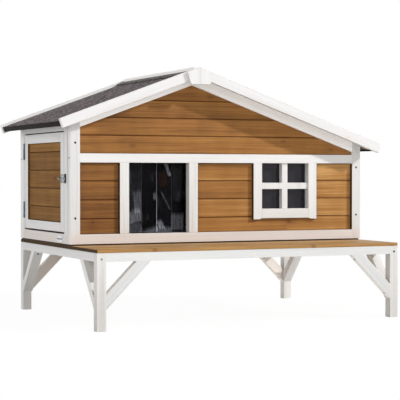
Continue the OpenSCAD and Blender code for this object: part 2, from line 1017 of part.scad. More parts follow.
// Children on the axis of each hinge
module at_hinges() {
    for (z = hinge_levels)
        translate([hinge_x, hinge_y, z])
            children();
}

module hinge_leaves_door() {
    half = knuckle_len / 2 - knuckle_gap;
    color(zinc)
        placed()
            at_hinges()
                hinge_leaf(-hinge_gap / 2, [[-half, half]]);
}

module hinge_leaves_frame() {
    color(zinc)
        placed()
            at_hinges()
                hinge_leaf(hinge_gap / 2 - hinge_leaf_t,
                           [[-hinge_len / 2, -knuckle_len / 2], [knuckle_len / 2, hinge_len / 2]]);
}

module hinge_pins() {
    color(dark_steel)
        placed()
            at_hinges()
                translate([0, 0, -hinge_len / 2])
                    cylinder(h = hinge_len, r = hinge_pin_r);
}

// A staple with a round bore along Y, standing on the face x = 0
module staple(y_low, length, bore_r) {
    outer = bore_r + guide_wall;
    difference() {
        union() {
            translate([bolt_x, y_low + length, latch_z])
                rotate([90, 0, 0])
                    cylinder(h = length, r = outer);
            block([bolt_x, y_low, latch_z - outer], [0, y_low + length, latch_z + outer]);
        }
        translate([bolt_x, y_low + length + 1, latch_z])
            rotate([90, 0, 0])
                cylinder(h = length + 2, r = bore_r);
    }
}

module latch_plate() {
    color(zinc)
        placed()
            union() {
                block([-latch_plate_t, plate_front, latch_z - latch_plate_h / 2],
                      [0, plate_back, latch_z + latch_plate_h / 2]);
                staple(plate_front, guide_len, bolt_r + bolt_clear);
                staple(plate_back - guide_len, guide_len, bolt_r + bolt_clear);
            }
}

module latch_bolt() {
    knob_y = plate_back - guide_len - knob_len / 2 - 1;
    color(dark_steel)
        placed()
            union() {
                translate([bolt_x, plate_back + bolt_travel, latch_z])
                    rotate([90, 0, 0])
                        cylinder(h = plate_back + bolt_travel - door_front - bolt_back, r = bolt_r);
                translate([bolt_x - knob_out, knob_y, latch_z])
                    rotate([0, 90, 0])
                        cylinder(h = knob_out, r = knob_r);
            }
}

module latch_keeper() {
    color(zinc)
        placed()
            union() {
                block([-latch_plate_t, keeper_start - keeper_flange, latch_z - latch_plate_h / 2],
                      [0, keeper_start + keeper_len + keeper_lip, latch_z + latch_plate_h / 2]);
                staple(keeper_start, keeper_len, bolt_r + keeper_clear);
            }
}

module fixing_plate() {
    color(zinc)
        placed()
            difference() {
                block([-fixing_t, fixing_y, fixing_z], [0, fixing_y + plate_len, fixing_z + plate_h]);
                plate_screws(hole_clear);
            }
}

module curtain_clamp() {
    color(dark_steel)
        placed()
            block([entrance_left - clamp_lap, front_in, belt_z],
                  [entrance_right + clamp_lap, front_in + clamp_t, belt_z + clamp_h]);
}

// One clear strip, round along its top edge, where it bends under the clamp bar
module curtain_strip(number) {
    x_low = entrance_left + strip_gap + (number - 1) * (strip_w + strip_gap);
    color(clear_sheet)
        placed()
            union() {
                block([x_low, strip_y - strip_t / 2, sill_z + strip_clear],
                      [x_low + strip_w, strip_y + strip_t / 2, strip_axis_z]);
                translate([x_low, strip_y, strip_axis_z])
                    rotate([0, 90, 0])
                        cylinder(h = strip_w, r = strip_t / 2);
            }
}

module curtain_strip_1() curtain_strip(1);
module curtain_strip_2() curtain_strip(2);
module curtain_strip_3() curtain_strip(3);
module curtain_strip_4() curtain_strip(4);

module frame_screws() {
    color(dark_steel)
        placed() {
            at_corners()
                corner_screws();
            post_screws();
            plate_screws();
        }
}

leg_front_left();
leg_front_right();
leg_rear_left();
leg_rear_right();
apron_front();
apron_rear();
side_aprons();
front_rear_braces();
side_braces();
deck_bearers();
deck_boards();
floor_panel();
post_front_left();
post_front_right();
post_rear_left();
post_rear_right();
front_rails();
entrance_stiles();
front_gable_trims();
front_gable_planks();
front_wall_planks();
window_stiles();
window_bars();
window_pane();
left_rails();
left_stiles();
door_stops();
right_rails();
right_stiles();
right_wall_planks();
rear_rails();
rear_stud();
rear_gable_trims();
rear_planks();
ridge_beam();
roof_panel_left();
roof_panel_right();
roof_felt_left();
roof_felt_right();
ridge_cap();
ridge_batten();
front_bargeboards();
rear_bargeboards();
apex_plate();
door_stiles();
door_rails();
door_planks();
hinge_leaves_door();
hinge_leaves_frame();
hinge_pins();
latch_plate();
latch_bolt();
latch_keeper();
fixing_plate();
curtain_clamp();
curtain_strip_1();
curtain_strip_2();
curtain_strip_3();
curtain_strip_4();
frame_screws();
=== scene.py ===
# %% [markdown]
# # An outdoor cat house, dressed for its portrait
# The cat house comes in as a fixed frame: every timber, sheet and fitting is already a solid of its
# own, in metres, with +Z up and the entrance towards -Y. The joinery is done, and this lesson is the
# finishing: eased edges, painted and stained grain, felt, nails, screws and clear curtain strips.

# %% Load the frame
import math
import random

import bmesh
import bpy
import numpy as np
from mathutils import Matrix, Vector


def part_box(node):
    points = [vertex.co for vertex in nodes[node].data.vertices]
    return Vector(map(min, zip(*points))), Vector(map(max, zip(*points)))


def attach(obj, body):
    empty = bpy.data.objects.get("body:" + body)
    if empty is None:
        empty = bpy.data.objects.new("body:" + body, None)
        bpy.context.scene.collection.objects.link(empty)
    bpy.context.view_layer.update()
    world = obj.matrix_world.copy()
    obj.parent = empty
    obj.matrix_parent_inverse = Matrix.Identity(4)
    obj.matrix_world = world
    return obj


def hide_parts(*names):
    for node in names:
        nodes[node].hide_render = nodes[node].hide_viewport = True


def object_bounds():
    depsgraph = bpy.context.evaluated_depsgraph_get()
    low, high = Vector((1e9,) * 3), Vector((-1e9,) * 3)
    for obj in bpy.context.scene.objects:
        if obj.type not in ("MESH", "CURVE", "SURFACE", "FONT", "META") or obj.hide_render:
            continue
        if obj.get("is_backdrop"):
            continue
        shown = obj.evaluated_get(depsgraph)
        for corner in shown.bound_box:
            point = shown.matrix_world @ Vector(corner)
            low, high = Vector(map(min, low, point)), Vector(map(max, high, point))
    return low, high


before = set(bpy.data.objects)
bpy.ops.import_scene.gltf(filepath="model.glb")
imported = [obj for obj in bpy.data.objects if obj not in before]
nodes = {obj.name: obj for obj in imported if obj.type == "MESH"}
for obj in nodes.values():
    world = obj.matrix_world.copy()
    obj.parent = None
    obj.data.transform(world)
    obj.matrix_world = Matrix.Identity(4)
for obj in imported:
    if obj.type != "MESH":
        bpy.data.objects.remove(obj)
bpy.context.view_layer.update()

# %% [markdown]
# ## Camera
# The photograph was taken from a little left of the house, half a metre above the ground, with a
# long lens: the posts stay upright and the far legs are hardly smaller than the near ones. The lens
# and the place come from the straight edges of the stand, so no shift is needed.

# %% Place the camera
camera_data = bpy.data.cameras.new("camera")
camera_data.sensor_width = 36.0
camera_data.lens = 122.88
camera = bpy.data.objects.new("camera", camera_data)
camera.location = (-2.1939, -4.8403, 0.5375)
camera.rotation_euler = (math.radians(88.91), 0.0, math.radians(-24.43))
bpy.context.scene.collection.objects.link(camera)
bpy.context.scene.camera = camera
print("lens", camera_data.lens, "mm")

# %% [markdown]
# ## Shader maths
# A material is a sum on numbers that change over a surface. Written with nodes one by one, a sum is
# long and hard to read. One small class wraps a socket, so that plain Python operators add the Math
# nodes, and one method adds any other node. Numbers alone are still worked out in Python.

# %% A socket that can be calculated with
class Wire:
    """One output socket of a node tree, with operators that add Math nodes."""

    def __init__(self, tree, socket):
        self.tree = tree
        self.socket = socket

    def __add__(self, other):
        return self.tree.math("ADD", self, other)

    def __sub__(self, other):
        return self.tree.math("SUBTRACT", self, other)

    def __rsub__(self, other):
        return self.tree.math("SUBTRACT", other, self)

    def __mul__(self, other):
        return self.tree.math("MULTIPLY", self, other)

    def __truediv__(self, other):
        return self.tree.math("DIVIDE", self, other)

    def __rtruediv__(self, other):
        return self.tree.math("DIVIDE", other, self)

    def __pow__(self, other):
        return self.tree.math("POWER", self, other)

    __radd__ = __add__
    __rmul__ = __mul__


class Tree:
    """A node tree, and the one method that adds its nodes."""

    def __init__(self, node_tree):
        self.node_tree = node_tree

    def node(self, kind, settings=None, inputs=None, output=0):
        made = self.node_tree.nodes.new(kind)
        for name, value in (settings or {}).items():
            if name == "stops":
                elements = made.color_ramp.elements
                while len(elements) < len(value):
                    elements.new(0.5)
                for element, (place, colour) in zip(elements, value):
                    element.position = place
                    element.color = (*colour, 1.0)
            else:
                setattr(made, name, value)
        for name, value in (inputs or {}).items():
            self.feed(made.inputs[name], value)
        return Wire(self, made.outputs[output])

    def feed(self, socket, value):
        if isinstance(value, Wire):
            self.node_tree.links.new(value.socket, socket)
        else:
            socket.default_value = value

    def math(self, operation, first, second=0.0):
        return self.node("ShaderNodeMath", {"operation": operation}, {0: first, 1: second})


print("a wire can be added, subtracted, multiplied, divided and raised to a power")

# %% [markdown]
# A finish is one material. Its constants go straight onto the Principled shader's own sockets,
# because a number that is the same all over needs no node. What varies is linked.

# %% A finish and its nodes
class Finish(Tree):
    """A material with a Principled shader, and short names for the nodes that it needs most."""

    def __init__(self, name, **constants):
        self.material = bpy.data.materials.new(name)
        self.material.use_nodes = True
        super().__init__(self.material.node_tree)
        self.shader = self.node_tree.nodes["Principled BSDF"]
        self.link(**constants)

    def link(self, **sockets):
        for name, value in sockets.items():
            self.feed(self.shader.inputs[name.replace("_", " ")], value)
        return self.material

    def place(self):
        """The point of the surface in metres, in the house's own frame."""
        return self.node("ShaderNodeTexCoord", output="Object")

    def part(self, vector, axis):
        """One of the three numbers of a vector."""
        return self.node("ShaderNodeSeparateXYZ", None, {0: vector}, axis)

    def axes(self):
        """The same point as three separate numbers."""
        place = self.place()
        return [self.part(place, axis) for axis in range(3)]

    def vector(self, x, y, z):
        return self.node("ShaderNodeCombineXYZ", None, {0: x, 1: y, 2: z})

    def noise(self, where, scale=1.0, detail=2.0, rough=0.5):
        return self.node("ShaderNodeTexNoise", None,
                         {"Vector": where, "Scale": scale, "Detail": detail, "Roughness": rough})

    def fade(self, value, low, high, start=0.0, end=1.0):
        """A smooth step from start to end, while value goes from low to high."""
        return self.node("ShaderNodeMapRange", {"interpolation_type": "SMOOTHSTEP"},
                         {0: value, 1: low, 2: high, 3: start, 4: end})

    def mix(self, factor, first, second):
        return self.node("ShaderNodeMix", {"data_type": "RGBA"}, {0: factor, 6: first, 7: second}, 2)

    def ramp(self, value, stops):
        return self.node("ShaderNodeValToRGB", {"stops": stops}, {0: value})

    def near(self, base, distance, inner, outer, strength, shade):
        """Mix a shade in: full within the inner distance, gone beyond the outer one."""
        return self.mix(self.fade(distance, inner, outer, strength, 0.0), base, rgba(*shade))

    def bump(self, height, strength, distance):
        return self.node("ShaderNodeBump", None,
                         {"Height": height, "Strength": strength, "Distance": distance})


def colour(red, green, blue):
    """An sRGB colour from 0 to 255 as the linear numbers that a shader takes."""
    parts = [v / 255 for v in (red, green, blue)]
    linear = [p / 12.92 if p <= 0.04045 else ((p + 0.055) / 1.055) ** 2.4 for p in parts]
    return tuple(linear)


def rgba(red, green, blue):
    return (*colour(red, green, blue), 1.0)


def stops(places, *shades):
    """The stops of a ramp: a shade at each place."""
    return [(place, colour(*shade)) for place, shade in zip(places, shades)]


def balance(*parts):
    """A tone around one half: what each part departs from one half by, times its weight."""
    tone = 0.5
    for part, weight in parts:
        tone = tone + (part - 0.5) * weight
    return tone


print("shader tools ready")

# %% [markdown]
# ## Light, world and floor
# The studio is bright and plain: a key from the right, in front and above, which draws the roof's
# shadow across the right half of the gable, and two weak broad fills, one from the left and one from
# low in front, as white cards give. All are sun lamps, because a sun lights the whole house evenly,
# and the lamp's angle says how soft the edge of its shadow is.

# %% Key and fills
def sun(name, towards, energy, angle, tint):
    data = bpy.data.lights.new(name, "SUN")
    data.energy = energy
    data.angle = math.radians(angle)
    data.color = tint
    lamp = bpy.data.objects.new(name, data)
    lamp.rotation_euler = Vector(towards).to_track_quat("Z", "Y").to_euler()
    lamp.location = Vector(towards) * 4.0
    bpy.context.scene.collection.objects.link(lamp)
    print(name, "energy", energy, "angle", angle)


sun("key", (0.75, -0.50, 0.50), 3.0, 3.0, (1.0, 0.99, 0.97))
sun("left_fill", (-1.0, -0.10, 0.25), 1.02, 50.0, (1.0, 0.99, 0.97))
sun("front_fill", (0.10, -1.0, 0.10), 0.64, 40.0, (1.0, 0.995, 0.985))

# %% [markdown]
# The world does two jobs. It is the soft light, at a moderate strength, and it is the white studio
# wall that the camera, the metal and the clear sheets see, at a strength of exactly one.

# %% The world
PURE_WHITE = (1.0, 1.0, 1.0, 1.0)
world = bpy.data.worlds.new("studio")
bpy.context.scene.world = world
world.use_nodes = True
sky = Tree(world.node_tree)
soft = world.node_tree.nodes["Background"]
soft.inputs["Color"].default_value = (0.975, 0.985, 1.0, 1.0)
soft.inputs["Strength"].default_value = 0.50
wall = sky.node("ShaderNodeBackground", None, {"Color": PURE_WHITE, "Strength": 1.0})


def seen_directly(tree):
    """One where a camera, glossy or transmitted ray looks, and nought for the light itself."""
    looking, glossy, through = (tree.node("ShaderNodeLightPath", output=name) for name in
                                ("Is Camera Ray", "Is Glossy Ray", "Is Transmission Ray"))
    return tree.math("MAXIMUM", tree.math("MAXIMUM", looking, glossy), through)


either_way = sky.node("ShaderNodeMixShader", None,
                      {0: seen_directly(sky), 1: Wire(sky, soft.outputs[0]), 2: wall})
sky.feed(world.node_tree.nodes["World Output"].inputs["Surface"], either_way)
bpy.context.scene.view_settings.view_transform = "Standard"
print("world strength", soft.inputs["Strength"].default_value)

# %% [markdown]
# The floor is one pale sheet. Seen directly it is nearly all a plain white glow, with just enough
# of its real lit surface left for the house's soft shadow to stay under the legs.

# %% The floor
FLOOR_HALF = 40.0
FLOOR_GLOW = 0.965
floor_mesh = bpy.data.meshes.new("floor")
corners = [(-FLOOR_HALF, -FLOOR_HALF, 0), (FLOOR_HALF, -FLOOR_HALF, 0),
           (FLOOR_HALF, FLOOR_HALF, 0), (-FLOOR_HALF, FLOOR_HALF, 0)]
floor_mesh.from_pydata(corners, [], [(0, 1, 2, 3)])
floor = bpy.data.objects.new("floor", floor_mesh)
bpy.context.scene.collection.objects.link(floor)
paper = Finish("studio_floor", Base_Color=(0.92, 0.92, 0.92, 1.0), Roughness=0.9)
glow = paper.node("ShaderNodeEmission", None, {"Color": PURE_WHITE, "Strength": 1.0})
lit = Wire(paper, paper.shader.outputs[0])
surface = paper.node("ShaderNodeMixShader", None,
                     {0: seen_directly(paper) * FLOOR_GLOW, 1: lit, 2: glow})
paper.feed(paper.node_tree.nodes["Material Output"].inputs["Surface"], surface)
floor_mesh.materials.append(paper.material)
floor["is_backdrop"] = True
print("floor", 2 * FLOOR_HALF, "m wide")

# %% [markdown]
# ## Timber
# All of the house's timber is softwood, with one anatomy: long fibres, streaks and broad bands
# where summer and winter growth alternate, and now and then a knot. One function makes that from
# the surface's own place, stretched along the grain, and each finish colours it in its own way.
# Made from space, and not from a picture, the grain keeps its real size on every board.
#
# Upright, lengthwise and crosswise boards run along an axis. A sloping board follows its own slope,
# which two products with a sine and a cosine give, and the distance from the middle line makes one
# finish do for a mirrored pair.

# %% Grain directions
RIDGE_X = -0.1195
ROOF_PITCH = math.radians(19.75)
DECK_MIDDLE_Y = -0.040


def directions(finish, along):
    """Three numbers for a surface: along the grain, and the two ways across it."""
    x, y, z = finish.axes()
    if along == "x":
        return x, z, y
    if along == "y":
        return y, z, x
    if along == "z":
        return z, x, y
    middle, angle, flat, depth = {
        "gable": (RIDGE_X, ROOF_PITCH, x, y),
        "long_brace": (0.0, BRACE_ANGLE["long_brace"], x, y),
        "side_brace": (DECK_MIDDLE_Y, BRACE_ANGLE["side_brace"], y, x),
    }[along]
    out = finish.math("ABSOLUTE", flat - middle)
    run = out * math.cos(angle) - z * math.sin(angle)
    side = out * math.sin(angle) + z * math.cos(angle)
    return run, side, depth


def brace_angle(name, axis):
    """The slope of a node's braces, from their height and their reach over half the stand."""
    low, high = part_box(name)
    middle = (low[axis] + high[axis]) / 2
    nearest = min(abs(vertex.co[axis] - middle) for vertex in nodes[name].data.vertices)
    return math.atan2(high[2] - low[2], high[axis] - nearest - middle)


BRACE_ANGLE = {"long_brace": brace_angle("front_rear_braces", 0),
               "side_brace": brace_angle("side_braces", 1)}
print("braces slope", [round(math.degrees(a), 1) for a in BRACE_ANGLE.values()], "degrees")


# %% Streaks, fibres and knots
CELLS_ALONG = 3.2
CELLS_ACROSS = 11.0
RINGS_PER_METRE = 52.0
KNOT_STRETCH = 0.35
NO_KNOT = 0.2
FIBRE_HEIGHT = 0.0006


def grain(finish, along, knot_share, seed, board=None):
    """Broad, streaky, fine and ringed parts of the grain around 0.5, and the way to a knot."""
    run, side, depth = directions(finish, along)
    if board is not None:
        run = run + board * 3.7
    run = run + seed
    broad = finish.noise(finish.vector(run * 1.1, side * 28.0, depth * 28.0), 1.0, 2.0)
    streak = finish.noise(finish.vector(run * 3.2, side * 170.0, depth * 170.0), 1.0, 2.0, 0.6)
    fibre = finish.noise(finish.vector(run * 26.0, side * 800.0, depth * 800.0), 1.0, 2.0, 0.6)
    rings = finish.math("SINE", ((side + depth) * RINGS_PER_METRE + broad * 5.0) * math.tau) * 0.5 + 0.5
    cells = finish.vector(run * CELLS_ALONG, (side + depth) * CELLS_ACROSS, 0.0)

    def knot_cells(output):
        return finish.node("ShaderNodeTexVoronoi", {"voronoi_dimensions": "2D"},
                           {"Vector": cells, "Scale": 1.0}, output)

    away = finish.node("ShaderNodeVectorMath", {"operation": "SUBTRACT"},
                       {0: cells, 1: knot_cells("Position")})
    away_run = finish.part(away, 0) / CELLS_ALONG
    away_side = finish.part(away, 1) / CELLS_ACROSS
    to_knot = (away_run * away_run * KNOT_STRETCH + away_side * away_side) ** 0.5
    luck = finish.part(knot_cells("Color"), 0)
    absent = finish.fade(luck, knot_share - 0.01, knot_share + 0.01)
    return broad, streak, fibre, rings, to_knot + absent * NO_KNOT


print("grain ready")

# %% [markdown]
# ### White painted timber
# The frame, the stand and the roof's trim are painted with a thin matt white that lets a little of
# the timber through: a pale grey-beige in the streaks and a faint tan stain over each knot. The
# paint lies in the fibres, so the bump is fine and runs with the grain.
#
# One function paints all of it, and each kind of timber has a white of its own. The stand's is
# greyer, and greyer still near the ground. The ridge batten, the gable trims, the timbers at the
# back, the posts' side faces and the long braces' upper and lower faces are painted paler: painted
# light, for the light that reaches them in the shade. Just above the deck a brown tint is painted
# light too, the light that the deck throws back onto the paint.

# %% White paint for each kind of timber
WHITE_PLACES = (0.0, 0.45, 1.0)
# The two palest whites are painted light, for timbers that lie in shade.
SHADE_LIFTED_BRIGHT_WHITE = stops(WHITE_PLACES, (232, 229, 226), (248, 246, 244), (252, 251, 250))
SHADE_LIFTED_PALE_WHITE = stops(WHITE_PLACES, (202, 199, 195), (220, 219, 217), (228, 227, 226))
PLAIN_WHITE = stops(WHITE_PLACES, (192, 189, 185), (210, 209, 208), (219, 218, 218))
WORN_WHITE = stops(WHITE_PLACES, (187, 184, 180), (204, 203, 202), (214, 213, 212))
STAND_WHITE = stops(WHITE_PLACES, (179, 179, 178), (197, 197, 196), (207, 207, 206))
LEG_WHITE = stops(WHITE_PLACES, (178, 174, 170), (200, 198, 195), (212, 210, 208))
GROUND_DARKENING_TOP = 0.24
DECK_BOUNCE_STARTS = (0.278, 0.284)
DECK_BOUNCE_ENDS = (0.300, 0.345)


def facing(finish, axis, low, high):
    """One where the surface looks along an axis, either way, and nought elsewhere."""
    normal = finish.node("ShaderNodeTexCoord", output="Normal")
    return finish.fade(finish.math("ABSOLUTE", finish.part(normal, axis)), low, high)


def white_paint(name, along, seed, tones):
    finish = Finish(f"white_paint_{name}", Specular_IOR_Level=0.35)
    broad, streak, fibre, rings, to_knot = grain(finish, along, 0.10, seed)
    tone = balance((broad, 1.1), (streak, 0.8), (fibre, 0.35), (rings, 0.10))
    height = finish.axes()[2]
    # The paint is darker towards the ground, up to this height.
    tone = tone - finish.fade(height, 0.0, GROUND_DARKENING_TOP, 0.24, 0.0)
    base = finish.ramp(tone, tones)
    # Painted light: a brown tint just above the deck, for the light that the deck throws back.
    painted_deck_bounce = finish.fade(height, *DECK_BOUNCE_STARTS) * finish.fade(height, *DECK_BOUNCE_ENDS, 0.50, 0.0)
    base = finish.mix(painted_deck_bounce, base, rgba(204, 186, 176))
    base = finish.near(base, to_knot, 0.003, 0.014, 0.30, (206, 188, 166))
    if name == "long_brace":
        # Painted light: the long braces are paler towards the back and on their upper and lower faces,
        # which the deck shades.
        behind = finish.fade(finish.axes()[1], 0.0, 0.2, 0.0, 0.85)
        base = finish.mix(behind, base, rgba(238, 232, 226))
        base = finish.mix(facing(finish, 2, 0.4, 0.6) * 0.9, base, rgba(243, 238, 232))
    if name == "post":
        # Painted light: the posts' side faces are paler than their fronts.
        base = finish.mix(facing(finish, 0, 0.6, 0.8) * 0.8, base, rgba(222, 221, 219))
    relief = fibre * 0.6 + streak * 0.5
    return finish.link(Base_Color=base, Roughness=fibre * 0.25 + 0.42,
                       Normal=finish.bump(relief, 0.30, FIBRE_HEIGHT))


WHITE = {name: white_paint(name, along, seed, tones) for name, along, seed, tones in (
    ("rail", "x", 0.0, PLAIN_WHITE), ("side", "y", 5.3, PLAIN_WHITE),
    ("stile", "z", 9.1, PLAIN_WHITE), ("post", "z", 14.6, WORN_WHITE),
    ("leg", "z", 12.7, LEG_WHITE), ("rear_leg", "z", 11.9, SHADE_LIFTED_PALE_WHITE),
    ("apron", "x", 2.9, STAND_WHITE), ("long_brace", "long_brace", 17.9, STAND_WHITE),
    ("side_brace", "side_brace", 21.3, SHADE_LIFTED_PALE_WHITE), ("ridge", "y", 7.7, SHADE_LIFTED_BRIGHT_WHITE),
    ("barge", "gable", 13.7, PLAIN_WHITE), ("rear_barge", "gable", 13.7, SHADE_LIFTED_PALE_WHITE),
    ("trim", "gable", 15.1, SHADE_LIFTED_BRIGHT_WHITE))}
print("white paint for", ", ".join(WHITE))

# %% [markdown]
# ### Brown stained planks
# The cladding is stained golden brown. Stain soaks into the soft bands and hardly into the hard
# ones, so the grain shows more than it does under paint, the knots turn dark, and every plank takes
# the stain a little differently. The number of the plank comes from its height, and a white noise
# turns that number into its own shade and its own piece of grain. A short noise along the plank
# draws the figure in it. Each plank darkens towards its chamfers: partly stain that gathers there,
# partly painted shade in the grooves.
#
# The front wall has three short runs of planks, cut from different boards, so they have three
# shades. The larger knots of the front have known places. The door's stain has turned dull.

# %% Stained planks, numbered by height
STAIN_PLACES = (0.0, 0.42, 0.62, 1.0)
WARM_STAIN = stops(STAIN_PLACES, (100, 63, 28), (142, 96, 47), (156, 109, 56), (192, 148, 92))
DULL_STAIN = stops(STAIN_PLACES, (78, 50, 20), (113, 75, 28), (126, 87, 36), (151, 111, 54))
RUN_ENDS = (-0.35, 0.283)
# Each knot is a place in x and z, in metres, and a size.
WALL_KNOTS = ((-0.5087, 0.3633, 0.7), (0.2930, 0.3543, 0.8))
GABLE_KNOTS = ((-0.0403, 0.8254, 1.1), (0.2674, 0.6627, 1.0), (-0.3538, 0.6413, 1.2),
               (0.4786, 0.6336, 0.9))


def stained_planks(name, along, first_edge, pitch, seed, tones, runs=None, knots=(), climb=0.0,
                   variety=0.40, gloss=0.16, lean=0.0, knot_depth=1.0):
    finish = Finish(name, Specular_IOR_Level=gloss)
    place_x, _, height = finish.axes()
    count = (height - first_edge) / pitch + 50.0
    number = finish.math("FLOOR", count) + seed
    lift = 0.0
    if runs:
        second, third = (finish.fade(place_x, end - 0.001, end + 0.001) for end in RUN_ENDS)
        number = number + (second + third) * 7.0
        lift = runs[0] + second * (runs[1] - runs[0]) + third * (runs[2] - runs[1])
    shade = finish.node("ShaderNodeTexWhiteNoise", {"noise_dimensions": "1D"}, {"W": number})
    broad, streak, fibre, rings, to_knot = grain(finish, along, 0.04 if knots else 0.16, seed, number)
    for knot_x, knot_z, size in knots:
        aside, above = (place_x - knot_x) * 0.55, height - knot_z
        to_knot = finish.math("MINIMUM", to_knot, (aside * aside + above * above) ** 0.5 / size)
    run, side, depth = directions(finish, along)
    figure = finish.noise(finish.vector(run * 13.0 + number, side * 5.0, depth * 5.0), 1.0, 1.0)
    tone = balance((broad, 0.75), (streak, 0.60), (fibre, 0.30), (figure, 0.34), (rings, 0.12),
                   (shade, variety))
    tone = tone + lift + (height - 0.45) * climb + place_x * lean
    base = finish.ramp(tone, tones)
    base = finish.near(base, to_knot, 0.006, 0.034, 0.36 * knot_depth, (112, 70, 32))
    base = finish.near(base, to_knot, 0.002, 0.011, 0.62 * knot_depth, (78, 48, 22))
    # Partly stain gathered in the chamfers, partly painted shade in the grooves.
    to_edge = finish.math("PINGPONG", finish.math("FRACT", count), 0.5) * pitch
    base = finish.near(base, to_edge, 0.0010, 0.0036, 0.60, (84, 50, 24))
    relief = fibre * 0.5 + streak * 0.5
    return finish.link(Base_Color=base, Roughness=fibre * 0.2 + 0.42,
                       Normal=finish.bump(relief, 0.30, FIBRE_HEIGHT))


WALL_PITCH, WALL_FIRST = 0.0685, 0.375
GABLE_PITCH, GABLE_FIRST = 0.0655, 0.612
DOOR_FIRST = 0.416
STAIN = {
    "wall": stained_planks("brown_stain_wall", "x", WALL_FIRST, WALL_PITCH, 71.0, WARM_STAIN,
                           runs=(-0.19, 0.02, 0.19), knots=WALL_KNOTS, climb=0.9, variety=0.34),
    "gable": stained_planks("brown_stain_gable", "x", GABLE_FIRST, GABLE_PITCH, 37.0, WARM_STAIN,
                            knots=GABLE_KNOTS, climb=-0.35, variety=0.18, lean=0.30, knot_depth=0.55),
    "rear": stained_planks("brown_stain_rear", "x", WALL_FIRST, WALL_PITCH, 51.0, WARM_STAIN),
    "side": stained_planks("brown_stain_side", "y", WALL_FIRST, WALL_PITCH, 23.0, WARM_STAIN),
    "door": stained_planks("brown_stain_door", "y", DOOR_FIRST, WALL_PITCH, 31.0, DULL_STAIN,
                           gloss=0.05),
}
print("stained", ", ".join(STAIN))

# %% [markdown]
# ### Deck boards
# The deck has a thinner, lighter stain than the walls. The boards are numbered from front to rear
# for their own shades, and two knots have known places on the front one. The sawn ends drink the
# stain and turn dark brown, and their near-black is partly painted shade as well. The surface's own
# direction picks the end faces out.

# %% Stained deck boards
EVEN_PLACES = (0.0, 0.5, 1.0)
DECK_TONES = stops(EVEN_PLACES, (114, 76, 34), (158, 119, 68), (190, 152, 100))
DECK_PITCH = 0.08815
DECK_START = -0.480
NOSE_KNOTS = (-0.384, 0.242)


def deck_stain():
    finish = Finish("deck_stain", Specular_IOR_Level=0.25)
    across, depth, _ = finish.axes()
    from_nose = depth - DECK_START
    number = finish.math("FLOOR", from_nose / DECK_PITCH)
    shade = finish.node("ShaderNodeTexWhiteNoise", {"noise_dimensions": "1D"}, {"W": number})
    broad, streak, fibre, rings, to_knot = grain(finish, "x", 0.20, 41.0, number)
    tone = balance((broad, 1.2), (streak, 0.9), (fibre, 0.35), (rings, 0.14), (shade, 0.24))
    base = finish.ramp(tone, DECK_TONES)
    base = finish.near(base, to_knot, 0.003, 0.012, 0.7, (118, 76, 40))
    for knot in NOSE_KNOTS:
        aside, behind = across - knot, from_nose * 0.12
        gap = (aside * aside + behind * behind) ** 0.5
        base = finish.near(base, gap, 0.004, 0.012, 0.55, (104, 62, 28))
    # The end faces: dark stain in the end grain, and painted shade on top of it.
    ends = facing(finish, 0, 0.20, 0.45)
    base = finish.mix(ends * 0.95, base, rgba(46, 34, 18))
    relief = fibre * 0.5 + streak * 0.5
    return finish.link(Base_Color=base, Roughness=fibre * 0.2 + 0.38 + ends * 0.4,
                       Normal=finish.bump(relief, 0.30, FIBRE_HEIGHT))


DECK = deck_stain()
print("deck boards every", DECK_PITCH, "m")

# %% [markdown]
# ### Bare timber and plywood
# The bearers, the floor panel and the underside of the roof are bare softwood and plywood, with
# plain grain and a dry, rough face. The panels' face is darker and weathered, and that dark tone
# also paints the shade inside the house and under the eaves. The floor's edges are darker still,
# which is painted shade for the gap under the walls, and in front of the gable the roof's underside
# is painted with the trim.

# %% Bare timber
PALE_TIMBER = stops(EVEN_PLACES, (168, 138, 100), (194, 164, 124), (214, 188, 150))
# Weathered tones, dark enough to be painted shade too, for the inside of the house and the eaves.
WEATHERED_AND_SHADED = stops(EVEN_PLACES, (66, 56, 46), (92, 80, 66), (118, 104, 88))
OVERHANG_Y = -0.194


def bare_timber(name, along, seed, tones, painted_overhang=False, painted_shade_edges=False):
    finish = Finish(name, Roughness=0.75, Specular_IOR_Level=0.3)
    broad, streak, fibre, rings, to_knot = grain(finish, along, 0.20, seed)
    base = finish.ramp(balance((broad, 1.3), (streak, 0.8), (rings, 0.25), (fibre, 0.3)), tones)
    base = finish.near(base, to_knot, 0.003, 0.012, 0.7, (110, 76, 46))
    if painted_overhang:
        base = finish.near(base, finish.axes()[1], OVERHANG_Y - 0.002, OVERHANG_Y, 1.0, (236, 234, 231))
    # Painted shade: near-black edges for the shadowed gap under the walls.
    if painted_shade_edges:
        base = finish.mix(facing(finish, 2, 0.6, 0.8), rgba(44, 30, 20), base)
    return finish.link(Base_Color=base, Normal=finish.bump(fibre, 0.4, FIBRE_HEIGHT))


BARE = bare_timber("raw_timber", "y", 60.0, PALE_TIMBER)
PLY = bare_timber("weathered_shaded_ply", "x", 66.0, WEATHERED_AND_SHADED, painted_shade_edges=True)
ROOF_PLY = bare_timber("roof_ply", "x", 66.0, WEATHERED_AND_SHADED, painted_overhang=True)
print("bare timber ready")

# %% [markdown]
# ## Roofing felt
# The roof is covered with bitumen felt, pressed full of purple-grey slate grit. Close up every
# grain is lighter or darker than the next, from a step away it is speckled, and from further off a
# soft mottled grey, so noises of different sizes make it. Black bitumen shows where the felt is
# folded over the eave, since the grit has cracked off there. The felt is black along the rear
# bargeboards too, and a black band at the foot of the ridge cap is painted shade, under its edge.

